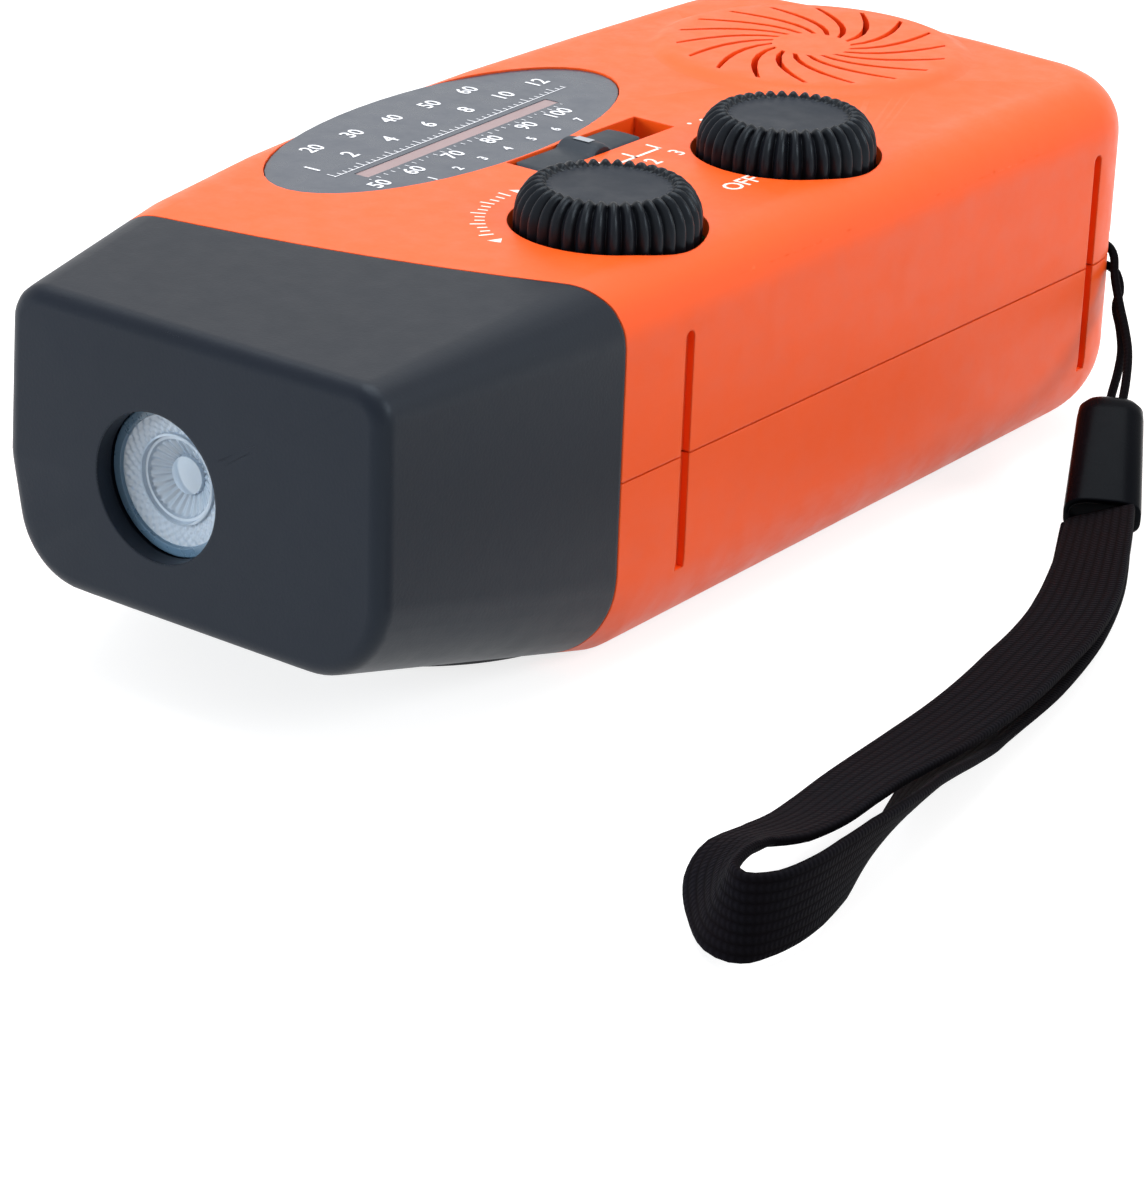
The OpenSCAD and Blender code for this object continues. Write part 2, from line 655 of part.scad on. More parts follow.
module knob(p) {
  translate([p[0], p[1], 0]) {
    rotate_extrude($fn = 72) knob_profile(0.8, false);
    intersection() {
      rotate_extrude($fn = 72) knob_profile(0, true);
      translate([0, 0, knob_z0 + 1]) linear_extrude(crest_z) polygon(concat(
        [for (i = [0 : rib_count - 1]) for (q = [[knob_r * 0.4, -2.4], [knob_r + 1, -2.4 / 1.4],
          [knob_r + 1, 2.4 / 1.4], [knob_r * 0.4, 2.4]])
          let (a = 360 / rib_count * i + q[1] * 36 / rib_count) [q[0] * cos(a), q[0] * sin(a)]]));
    }
    translate([0, 0, gang_floor]) cylinder(h = knob_z0 - gang_floor + 1, r = stem_r, $fn = 48);
  }
}
gang_floor = board_top + 1;
module tuning_knob() color(black) knob(tune_p);
module volume_knob() color(black) knob(vol_p);

module tuning_drum() color("ivory") translate([tune_p[0], tune_p[1], 0]) rotate_extrude($fn = 64) polygon([
  [stem_r + 0.02, belt_z - 0.5], [6.3, belt_z - 0.5], [6.3, belt_z - 0.15], [groove_r, belt_z - 0.15],
  [groove_r, belt_z + belt_t + 0.15], [6.3, belt_z + belt_t + 0.15], [6.3, belt_z + belt_t + 0.5],
  [stem_r + 0.02, belt_z + belt_t + 0.5]]);

module tuning_gang() color("whitesmoke") difference() {
  translate([tune_p[0] - 8, tune_p[1] - 8, board_top]) cube([16, 16, gang_t]);
  pillar(tune_p, gang_floor - 0.2, board_top + 9, stem_r + run_gap);
}

module volume_pot() color("tan") difference() {
  pillar(vol_p, board_top, board_top + 4.4, 8);
  pillar(vol_p, gang_floor - 0.2, board_top + 9, stem_r + run_gap);
}

// ---- switches ------------------------------------------------------------------
slider_w = slot_w - 0.4;
slider_y = slot_p[1] - slot_l / 2 + 0.4 + slider_l / 2;
module band_slider() color(black) {
  intersection() {
    translate([slot_p[0], slider_y, zi - 2.2]) linear_extrude(6) polygon([
      for (q = [[1, 1], [-1, 1], [-1, -1], [1, -1]]) for (a = [0 : 30 : 90])
        let (c = 1.6, b = a + (q == [1, 1] ? 0 : q == [-1, 1] ? 90 : q == [-1, -1] ? 180 : 270))
        [q[0] * (slider_w / 2 - c) + c * cos(b), q[1] * (slider_l / 2 - c) + c * sin(b)]]);
    translate([slot_p[0], slider_y, body_h + 0.4 - 90]) rotate([0, 90, 0])
      cylinder(h = slot_w * 2, r = 90, center = true, $fn = 360);
  }
  translate([slot_p[0] - slider_w / 2 + 0.3, slider_y + 0.2, body_h - 0.6]) cube([slider_w - 0.6, 1.3, 1.5]);
  translate([slot_p[0] - 0.6, slider_y - 1, zi - 3.6]) cube([1.2, 2, 1.6]);
}

module band_switch() color("silver") difference() {
  translate([slot_p[0] - 3.4, slot_p[1] - 8, board_top]) cube([6.8, 16, zi - 2.6 - board_top]);
  translate([slot_p[0] - 1, slider_y - 1.6, zi - 4]) cube([2, 2 * band_step + 3.2, 3]);
}

button_y = yf + 44;
button_z = board_top + 1.4;
button_x = arch_x(button_y) - 0.9;
module torch_button() color(black) translate([button_x, button_y, button_z]) rotate([0, 90, 0]) {
  cylinder(h = 0.5, r1 = button_r - 0.5, r2 = button_r, $fn = 48);
  translate([0, 0, 0.5]) cylinder(h = wall + 1.3, r = button_r, $fn = 48);
  translate([0, 0, wall + 1.8]) cylinder(h = 1, r = button_r + 0.8, $fn = 48);
  translate([0, 0, wall + 2.8]) cylinder(h = 0.8, r = 0.9, $fn = 32);
}

module torch_switch() color("dimgray") {
  x = button_x + wall + 3.6 + 0.15 + button_travel;
  box([x, button_y - 3, board_top], [x + 3.5, button_y + 3, board_top + 4.6]);
}

// ---- speaker --------------------------------------------------------------------
sp_z = zi - 0.3;
module speaker_frame() color("silver") translate([speaker_p[0], speaker_p[1], 0]) rotate_extrude($fn = 72) polygon([
  [speaker_r, sp_z], [speaker_r - 2.2, sp_z], [speaker_r - 2.2, sp_z - 1], [9.4, sp_z - 6.4], [6.4, sp_z - 6.4],
  [6.4, sp_z - 7.4], [9.8, sp_z - 7.4], [speaker_r - 1.6, sp_z - 1.7], [speaker_r, sp_z - 1.7]]);
module speaker_cone() color([0.1, 0.1, 0.1]) translate([speaker_p[0], speaker_p[1], 0]) rotate_extrude($fn = 72) polygon([
  [0, sp_z - 3.4], [3, sp_z - 3.8], [4.8, sp_z - 5], [speaker_r - 4.2, sp_z - 0.7], [speaker_r - 3.2, sp_z - 0.2],
  [speaker_r - 2.4, sp_z - 0.4], [speaker_r - 2.4, sp_z - 0.9], [speaker_r - 3.6, sp_z - 0.9], [5, sp_z - 5.7],
  [4.4, sp_z - 8], [3.8, sp_z - 8], [3.8, sp_z - 5], [2.6, sp_z - 4.3], [0, sp_z - 3.9]]);
module speaker_magnet() color("dimgray") difference() {
  pillar(speaker_p, sp_z - 12.6, sp_z - 7.4, 9);
  difference() {
    pillar(speaker_p, sp_z - 10, sp_z - 7, 5.2);
    pillar(speaker_p, sp_z - 10.2, sp_z - 6.9, 3.2);
  }
}

// ---- electronics ----------------------------------------------------------------
module main_board() color("darkgreen") difference() {
  translate([0, 0, board_z]) linear_extrude(board_t) polygon([
    [-xr + 12.5, yf + 31], [0, yf + 33], [14, yf + 37], [xr - 6.5, yf + 43], [xr - 4.2, yf + 50],
    [xr - 4.2, yf + 94], [-xr + 14.3, yf + 94], [-xr + 14.3, yf + 60], [-xr + 8.8, yf + 60],
    [-xr + 8.8, yf + 39], [-xr + 10.5, yf + 31]]);
  pillar(screw_at[0], board_z - 1, board_top + 1, screw_r + 0.35);
}
module board_chips() color([0.08, 0.08, 0.09]) {
  for (q = [[-12, 58, 7, 7], [3, 88.5, 5, 5], [-12, 76, 7, 6]])
    translate([q[0] - q[2] / 2, yf + q[1] - q[3] / 2, board_top]) cube([q[2], q[3], 1.6]);
}
rod_z = board_top + 4.1;
rod_y = yf + 36;
module ferrite_rod() color([0.25, 0.22, 0.22]) translate([-17, rod_y, rod_z]) rotate([0, 90, 0])
  cylinder(h = 25, r = 3, $fn = 32);
module ferrite_coil() color([0.72, 0.4, 0.2]) translate([-4, rod_y, rod_z]) rotate([0, 90, 0]) difference() {
  cylinder(h = 9, r = 3.9, $fn = 32);
  translate([0, 0, -1]) cylinder(h = 11, r = 3.02, $fn = 32);
}
module battery_cell() color("seagreen") translate([xr - cell_in, cell_y0, wall + 0.1 + cell_r]) rotate([-90, 0, 0]) {
  cylinder(h = cell_l - 1, r = cell_r, $fn = 64);
  cylinder(h = cell_l, r = 2.8, $fn = 32);
}

// ---- crank and generator -----------------------------------------------------------
module crank_drum() color(black) difference() {
  union() {
    difference() {
      pillar([0, drum_y], drum_z0, drum_top, drum_r);
      pillar([0, drum_y], drum_z0 - 1, drum_top - 1.6, drum_r - drum_wall);
    }
    intersection() {
      pillar([0, drum_y], drum_z0, drum_top, drum_r - drum_wall + eps);
      for (k = [-1, 1]) translate([k * (arm_w / 2 + 0.3 + 1.4) - 1.4, drum_y - drum_r, drum_z0])
        cube([2.8, drum_r - hinge_off + 2.6, 2 * hinge_z]);
    }
    pillar([0, drum_y], drum_top - eps, gear_z + gear_t, shaft_r);
  }
  translate([-arm_w, drum_y - hinge_off, hinge_z]) rotate([0, 90, 0])
    cylinder(h = 2 * arm_w, r = hinge_pin_r + 0.02, $fn = 32);
}
module crank_gear() color("ivory") translate([0, drum_y, gear_z]) rotate([0, 0, 90 - train_a])
  gear(gear_n, gear_t, shaft_r + 0.02);
module hinge_pin() color("silver") translate([-arm_w / 2 - 3, drum_y - hinge_off, hinge_z]) rotate([0, 90, 0])
  cylinder(h = arm_w + 6, r = hinge_pin_r, $fn = 32);

arm_z0 = 2 * hinge_z + 0.6;
module crank_arm() color(black) translate([0, drum_y - hinge_off, 0]) difference() {
  union() {
    translate([-arm_w / 2, 0, hinge_z]) rotate([0, 90, 0]) cylinder(h = arm_w, r = barrel_r, $fn = 32);
    translate([-arm_w / 2, -barrel_r, hinge_z]) cube([arm_w, barrel_r + 2.4, arm_z0 + arm_t - hinge_z]);
    translate([-arm_w / 2, 0, arm_z0]) cube([arm_w, arm_l, arm_t]);
    translate([0, arm_l, arm_z0]) cylinder(h = arm_t, r = arm_w / 2, $fn = 64);
  }
  translate([-arm_w, 0, hinge_z]) rotate([0, 90, 0]) cylinder(h = 2 * arm_w, r = hinge_pin_r + run_gap, $fn = 32);
  translate([0, arm_l, arm_z0 - 1]) cylinder(h = arm_t + 2, r = handle_pin_r + 0.02, $fn = 32);
  translate([0, 7, arm_z0 - 1]) linear_extrude(1.8) polygon([[-3, 0], [3, 0], [3, 13], [-3, 13]]);
}
handle_z = arm_z0 + arm_t + 0.3;
module crank_handle() color(black) translate([0, drum_y - hinge_off + arm_l, handle_z]) difference() {
  rotate_extrude($fn = 64) polygon([[0, 0], [handle_r - 0.6, 0], [handle_r, 0.6], [handle_r - 0.5, handle_h / 2],
    [handle_r, handle_h - 0.8], [handle_r - 0.8, handle_h], [0, handle_h]]);
  translate([0, 0, -1]) cylinder(h = handle_h + 2, r = handle_pin_r + run_gap, $fn = 32);
  translate([0, 0, handle_h - 1.4]) cylinder(h = 2, r = 2.8, $fn = 32);
}
module handle_pin() color("silver") translate([0, drum_y - hinge_off + arm_l, 0]) {
  translate([0, 0, arm_z0 + 0.2]) cylinder(h = handle_z + handle_h - arm_z0 - 0.6, r = handle_pin_r, $fn = 32);
  translate([0, 0, handle_z + handle_h - 1.2]) cylinder(h = 0.8, r = 2.5, $fn = 32);
}

idler_turn = 90 - train_a + 180 + 180 / idler_small_n;
module idler_gear() color("ivory") translate([idler_p[0], idler_p[1], gear_z]) {
  rotate([0, 0, idler_turn]) gear(idler_small_n, gear_t + 0.4 + eps, idler_axle_r + run_gap);
  translate([0, 0, gear_t + 0.4]) rotate([0, 0, 90 - train_a])
    gear(idler_large_n, idler_t, idler_axle_r + run_gap);
}
module idler_pin() color("silver") pillar(idler_p, well_z + 0.3, idler_z + idler_t + 1.2, idler_axle_r);

gen_z = wall + 0.3;
module generator() color("silver") difference() {
  pillar(gen_p, gen_z, gen_z + gen_h, gen_r);
  pillar(gen_p, gen_z + 4, gen_z + gen_h + 1, 1 + run_gap);
}
module generator_rotor() color("gold") translate([gen_p[0], gen_p[1], 0]) {
  translate([0, 0, gen_z + 4.2]) cylinder(h = idler_z + idler_t + 0.4 - gen_z - 4.2, r = 1, $fn = 32);
  translate([0, 0, idler_z - 0.2]) rotate([0, 0, 90 - train_a + 180 + 180 / pinion_n])
    linear_extrude(idler_t + 0.4) polygon(gear_pts(pinion_n));
}

// ---- solar panel ---------------------------------------------------------------------
solar_x = -xr + 1.6;
solar_rim = 1.2;
module solar_frame() color(black) difference() {
  box([solar_x - 0.4, solar_y, solar_z], [solar_x + solar_t + 1.4, solar_y + solar_l, solar_z + solar_h]);
  box([solar_x - 1, solar_y + solar_rim, solar_z + solar_rim],
    [solar_x + solar_t, solar_y + solar_l - solar_rim, solar_z + solar_h - solar_rim]);
}
module solar_panel() color([0.08, 0.1, 0.22])
  box([solar_x, solar_y + solar_rim + 0.1, solar_z + solar_rim + 0.1],
    [solar_x + solar_t - 0.05, solar_y + solar_l - solar_rim - 0.1, solar_z + solar_h - solar_rim - 0.1]);

// ---- sockets and flap -------------------------------------------------------------------
module port_flap() color(black) intersection() {
  body_shape(0);
  box([port_x - port_w / 2 + 0.3, face_in, port_z + 0.2], [port_x + port_w / 2 - 0.3, yr + 1, port_z + port_h - 0.7]);
}
module port_board() color("darkgreen")
  box([port_x - 12.6, yr - 17.6, port_z - 1.6], [port_x + 10.4, face_in - 2, port_z]);
module socket(x, w, h, l, t, tongue) color("silver") translate([port_x + x, face_in - 0.3 - l, port_z]) {
  difference() {
    cube([w, l, h]);
    translate([t, 1, t]) cube([w - 2 * t, l, h - 2 * t]);
  }
  translate([1, 0.5, h / 2 + (tongue > 1 ? 0.3 : -tongue / 2)]) cube([w - 2, l - 1.5, tongue]);
}
module usb_a_socket() socket(-12.2, 13.2, 5.7, 9.7, 0.5, 1.8);
module usb_c_socket() socket(1.8, 9, 3.3, 7.1, 0.4, 0.7);

// ---- antenna ------------------------------------------------------------------------------
module rod(r, y0, y1) { translate([mast_x, y0, mast_z]) rotate([-90, 0, 0]) cylinder(h = y1 - y0, r = r, $fn = 32); }
mast_y1 = mast_y0 + mast_l;
r2 = mast_r - mast_wall - 0.05;
r3 = r2 - mast_wall - 0.05;
r4 = r3 - mast_wall - 0.05;
module mast_tube() color("silver") difference() {
  union() {
    rod(mast_r, mast_y0 + 2, mast_y1);
    translate([mast_x, mast_y0, mast_z - chan_r + 0.3]) cylinder(h = 2 * chan_r - 0.6, r = mast_r, $fn = 48);
  }
  rod(r2 + 0.05, mast_y0 + 3.4, mast_y1 + 1);
  pillar([mast_x, mast_y0], mast_z - 5, mast_z + 5, 1 + run_gap);
}
module mast_middle() color("silver") difference() {
  rod(r2, mast_y0 + 3.8, mast_y1);
  rod(r3 + 0.05, mast_y0 + 4.4, mast_y1 + 1);
}
module mast_inner() color("silver") difference() {
  rod(r3, mast_y0 + 4.8, mast_y1);
  rod(r4 + 0.05, mast_y0 + 5.4, mast_y1 + 1);
}
module mast_rod() color("silver") {
  rod(r4, mast_y0 + 5.8, mast_y1 + 0.5);
  rod(mast_r, mast_y1 + 0.3, mast_y1 + 4);
}
module mast_pin() color("silver") pillar([mast_x, mast_y0], part_z + 4.6, mast_z + chan_r + 1.6, 1);

// ---- screws ---------------------------------------------------------------------------------
module case_screw(i) color("dimgray") difference() {
  union() {
    pillar(screw_at[i], 1.2, 3, 2.1);
    pillar(screw_at[i], 3 - eps, i == 0 ? board_top + 4 : part_z + 8, screw_r - 0.02);
  }
  for (a = [0, 90]) translate([screw_at[i][0], screw_at[i][1], 1]) rotate([0, 0, a])
    cube([2.6, 0.6, 1.6], center = true);
}
module case_screw_1() case_screw(0);
module case_screw_2() case_screw(1);
module case_screw_3() case_screw(2);
module case_screw_4() case_screw(3);

// ---- wrist strap: the route points are laid out by hand ---------------------------------------
module strap_post() color("silver")
  pillar(post_p, part_z - pocket_h / 2 - 2.8, part_z + pocket_h / 2 + 2.8, post_r);

string_pts = [[43.9, 42.3, 10.5], [43.2, 44, 11.2], [41.7, 47.1, 12.5], [39.6, 50.8, 13.9],
  [37.2, 54, 15.2], [34.4, 57.3, 16.7], [32, 60, 18.6], [30.3, 62.4, 20.2], [28.8, 63.6, 20.8],
  [27.2, 63.9, 21], [25.8, 63.4, 21], [25, 62.3, 20.9], [25.4, 61, 20.6], [26.8, 60.4, 20.2],
  [28.4, 61.2, 19.6], [30.5, 62.3, 18.7], [32, 61.4, 17], [33, 59, 15.6], [35.4, 56, 14.4],
  [37.5, 53, 13.1], [39.2, 49.6, 12], [40.8, 45.8, 10.9], [42.4, 42, 9.8]];
web_pts = [[50.2, 28.6, 4], [56.4, 16.2, 4.7], [61.6, 4.6, 5], [64.6, -4.4, 5.3], [66.5, -13, 5.5],
  [68, -21, 5.6], [68.8, -28, 5.6], [69.2, -35, 5.6], [69.3, -41, 5.6], [69.4, -46.5, 5.6], [69.8, -52, 5.6],
  [70.2, -57, 5.7], [69.8, -61.2, 5.8], [68.6, -65, 5.8], [69.2, -68.6, 5.5], [71.2, -72.4, 5.3],
  [73.6, -75.4, 5.2], [76.4, -76, 5.2], [78, -73.6, 5.2], [78.6, -69.6, 5.2], [78.3, -65, 5.1],
  [77.4, -59.5, 4.9], [76.2, -54.5, 4.7], [74.8, -49, 4.4], [73.4, -44, 4], [71.6, -37.5, 3.2], [69.8, -31, 2.5],
  [67.8, -24.5, 2], [65.4, -12, 1.7], [61.8, 1.5, 1.7], [56.8, 14.8, 1.8], [50, 28.2, 2.4]];
// Angle of the webbing's width above the floor at each route point.
web_turn = [-20, -18, -12, -8, -6, -6, -7, -8, -11, -14, -16, -16, -16, -22, -36, -58, -76, -92, -98, -99, -101,
  -107, -118, -128, -134, -146, -156, -164, -170, -174, -177, -180];
// Share of the webbing's width at each end, where the clamp pinches it.
web_pinch = [0.85, 0.93];
function web_half(i) = let (k = min(i, len(web_pts) - 1 - i)) web_w / 2 * (k < 2 ? web_pinch[k] : 1);

function unit(v) = v / max(norm(v), 1e-6);
function dir(p, i) = unit(p[min(i + 1, len(p) - 1)] - p[max(i - 1, 0)]);
module sweep(rings) {
  n = len(rings[0]);
  m = len(rings);
  polyhedron(points = [for (r = rings) for (q = r) q],
    faces = concat([[for (j = [n - 1 : -1 : 0]) j]],
      [for (i = [0 : m - 2]) for (j = [0 : n - 1]) let (k = (j + 1) % n)
        each [[i * n + j, i * n + k, (i + 1) * n + k], [i * n + j, (i + 1) * n + k, (i + 1) * n + j]]],
      [[for (j = [0 : n - 1]) (m - 1) * n + j]]));
}
module strap_string() color(black) sweep([for (i = [0 : len(string_pts) - 1])
  let (d = dir(string_pts, i), a = unit(cross(d, [0.1, 0.05, 1])), b = cross(d, a))
  [for (j = [0 : 7]) string_pts[i] + string_d / 2 * (a * cos(45 * j) + b * sin(45 * j))]]);

module strap_webbing() color(black) sweep([for (i = [0 : len(web_pts) - 1])
  let (d = dir(web_pts, i), h = unit(cross(d, [0, 0, 1])), v = cross(h, d),
    a = h * cos(web_turn[i]) + v * sin(web_turn[i]), b = cross(d, a))
  [for (q = [[-1, 0.25], [-0.9, 1], [0.9, 1], [1, 0.25], [1, -0.25], [0.9, -1], [-0.9, -1], [-1, -0.25]])
    web_pts[i] + a * q[0] * web_half(i) + b * q[1] * web_t / 2]]);

clamp_a = [42.4, 43, 10.4];
clamp_b = [50.1, 29.1, 3.5];
clamp_u = clamp_b - clamp_a;
clamp_l = norm(clamp_u);
module strap_clamp() color(black) translate(clamp_a)
  rotate([0, acos(clamp_u[2] / clamp_l), atan2(clamp_u[1], clamp_u[0])])
    hull() for (q = [[0.2, 0.66, 0.7], [1.6, 0.84, 0.92], [clamp_l, 1, 1]]) translate([0, 0, q[0]])
      for (k = [-1, 1]) translate([0, k * (clamp_w * q[1] / 2 - clamp_t * q[2] / 2), 0])
        cylinder(h = eps, r = clamp_t * q[2] / 2, $fn = 24);

front_case();
back_case();
lamp_head();
lamp_lens();
lamp_cup();
lamp_led();
dial_window();
dial_strip();
dial_pointer();
dial_cord();
pulley_front();
pulley_rear();
pulley_side();
tuning_knob();
tuning_drum();
tuning_gang();
volume_knob();
volume_pot();
band_slider();
band_switch();
torch_button();
torch_switch();
speaker_frame();
speaker_cone();
speaker_magnet();
main_board();
board_chips();
ferrite_rod();
ferrite_coil();
battery_cell();
generator();
generator_rotor();
idler_gear();
idler_pin();
crank_drum();
crank_gear();
hinge_pin();
crank_arm();
crank_handle();
handle_pin();
solar_panel();
solar_frame();
port_flap();
port_board();
usb_a_socket();
usb_c_socket();
mast_tube();
mast_middle();
mast_inner();
mast_rod();
mast_pin();
case_screw_1();
case_screw_2();
case_screw_3();
case_screw_4();
strap_post();
strap_string();
strap_clamp();
strap_webbing();
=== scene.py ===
import math

import bmesh
import bpy
from mathutils import Matrix, Vector
from mathutils.bvhtree import BVHTree
from mathutils.geometry import barycentric_transform


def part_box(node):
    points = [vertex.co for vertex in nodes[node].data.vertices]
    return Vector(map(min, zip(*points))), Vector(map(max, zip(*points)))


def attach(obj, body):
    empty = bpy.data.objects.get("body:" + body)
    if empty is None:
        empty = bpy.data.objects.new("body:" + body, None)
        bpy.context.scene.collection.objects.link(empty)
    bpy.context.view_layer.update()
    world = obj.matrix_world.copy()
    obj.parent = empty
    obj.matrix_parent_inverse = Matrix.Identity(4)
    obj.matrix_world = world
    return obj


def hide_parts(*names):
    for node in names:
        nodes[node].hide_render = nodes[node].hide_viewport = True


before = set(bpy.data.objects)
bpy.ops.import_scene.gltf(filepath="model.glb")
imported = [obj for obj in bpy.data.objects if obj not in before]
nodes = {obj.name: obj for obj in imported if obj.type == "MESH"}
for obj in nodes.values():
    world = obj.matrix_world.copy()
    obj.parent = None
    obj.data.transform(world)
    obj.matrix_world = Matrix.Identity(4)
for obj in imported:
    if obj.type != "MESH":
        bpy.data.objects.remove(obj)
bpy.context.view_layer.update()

MM = 0.001
scene = bpy.context.scene
scene.view_settings.view_transform = "Standard"


# ---- camera ---------------------------------------------------------------------------------
def make_camera():
    az, el, roll = (math.radians(a) for a in (36.263, 23.3015, 2.1867))
    back = Vector((math.sin(az) * math.cos(el), -math.cos(az) * math.cos(el), math.sin(el)))
    right = (-back).cross(Vector((0, 0, 1))).normalized()
    up = right.cross(-back)
    right, up = (
        right * math.cos(roll) + up * math.sin(roll),
        up * math.cos(roll) - right * math.sin(roll),
    )
    data = bpy.data.cameras.new("camera")
    data.sensor_width, data.lens = 36, 130.67
    data.clip_start, data.clip_end = 0.01, 20
    obj = bpy.data.objects.new("camera", data)
    scene.collection.objects.link(obj)
    turn = Matrix((right, up, back)).transposed().to_4x4()
    place = (Vector((-3.1952, 5.8127, -14.0988)) + back * 489.2291) * MM
    obj.matrix_world = Matrix.Translation(place) @ turn
    scene.camera = obj


# ---- materials ------------------------------------------------------------------------------
def lin(r, g, b):
    def one(c):
        c /= 255
        return c / 12.92 if c <= 0.04045 else ((c + 0.055) / 1.055) ** 2.4

    return one(r), one(g), one(b), 1.0


def graph(name):
    mat = bpy.data.materials.new(name)
    mat.use_nodes = True
    tree = mat.node_tree
    tree.nodes.clear()
    out = tree.nodes.new("ShaderNodeOutputMaterial")
    bsdf = tree.nodes.new("ShaderNodeBsdfPrincipled")
    tree.links.new(bsdf.outputs[0], out.inputs[0])
    return mat, tree, bsdf


def add_noise(tree, vector, scale, detail=2.0, rough=0.5):
    n = tree.nodes.new("ShaderNodeTexNoise")
    n.inputs["Scale"].default_value = scale
    n.inputs["Detail"].default_value = detail
    n.inputs["Roughness"].default_value = rough
    tree.links.new(vector, n.inputs["Vector"])
    return n.outputs[0]


def add_range(tree, value, a, b, c, d):
    n = tree.nodes.new("ShaderNodeMapRange")
    for i, v in zip((1, 2, 3, 4), (a, b, c, d)):
        n.inputs[i].default_value = v
    tree.links.new(value, n.inputs[0])
    return n.outputs[0]


def add_mix(tree, fac, a, b):
    n = tree.nodes.new("ShaderNodeMix")
    n.data_type = "RGBA"
    tree.links.new(fac, n.inputs[0])
    for socket, v in ((n.inputs[6], a), (n.inputs[7], b)):
        if isinstance(v, (tuple, list)):
            socket.default_value = v
        else:
            tree.links.new(v, socket)
    return n.outputs[2]


def add_math(tree, op, a, b=None):
    n = tree.nodes.new("ShaderNodeMath")
    n.operation = op
    for socket, v in zip(n.inputs, (a, b)):
        if v is None:
            continue
        if isinstance(v, (int, float)):
            socket.default_value = v
        else:
            tree.links.new(v, socket)
    return n.outputs[0]


def shade(rgb, k):
    return tuple(min(1.0, c * k) for c in rgb[:3]) + (1.0,)


def finish(name, rgb, rough=0.45, grain=3500, depth=4e-6, var=0.06, spread=0.07, metal=0.0,
           soften=0.0002, wear=0.0, cloud=90, stretch=(1, 1, 1), **sockets):
    """Moulded or metal surface: colour clouds, rough patches, fine grain, rounded and slightly worn edges."""
    mat, tree, bsdf = graph(name)
    coord = tree.nodes.new("ShaderNodeTexCoord")
    mapping = tree.nodes.new("ShaderNodeMapping")
    mapping.inputs["Scale"].default_value = stretch
    tree.links.new(coord.outputs["Object"], mapping.inputs["Vector"])
    vector = mapping.outputs[0]
    colour = add_mix(tree, add_range(tree, add_noise(tree, vector, cloud, 3), 0.3, 0.7, 0, 1),
                     shade(rgb, 1 - var), shade(rgb, 1 + var))
    speck = add_noise(tree, vector, grain, 2)
    colour = add_mix(tree, add_range(tree, speck, 0.55, 0.75, 0, var * 1.5), colour, shade(rgb, 1.6))
    normal = None
    if soften:
        bevel = tree.nodes.new("ShaderNodeBevel")
        bevel.samples = 4
        bevel.inputs["Radius"].default_value = soften
        normal = bevel.outputs[0]
        if wear:
            true = tree.nodes.new("ShaderNodeNewGeometry")
            dot = tree.nodes.new("ShaderNodeVectorMath")
            dot.operation = "DOT_PRODUCT"
            tree.links.new(bevel.outputs[0], dot.inputs[0])
            tree.links.new(true.outputs["Normal"], dot.inputs[1])
            edge = add_range(tree, dot.outputs["Value"], 0.995, 0.8, 0, wear)
            edge = add_math(tree, "MULTIPLY", edge,
                            add_range(tree, add_noise(tree, vector, 700, 3), 0.35, 0.65, 0, 1))
            colour = add_mix(tree, edge, colour, shade(rgb, 2.2))
    tree.links.new(colour, bsdf.inputs["Base Color"])
    patch = add_noise(tree, vector, cloud * 4, 4, 0.6)
    tree.links.new(add_range(tree, patch, 0.3, 0.7, rough - spread, rough + spread),
                   bsdf.inputs["Roughness"])
    bump = tree.nodes.new("ShaderNodeBump")
    bump.inputs["Strength"].default_value = 1.0
    bump.inputs["Distance"].default_value = depth
    tree.links.new(speck, bump.inputs["Height"])
    if normal:
        tree.links.new(normal, bump.inputs["Normal"])
    tree.links.new(bump.outputs[0], bsdf.inputs["Normal"])
    bsdf.inputs["Metallic"].default_value = metal
    for key, value in sockets.items():
        bsdf.inputs[key.replace("_", " ")].default_value = value
    return mat


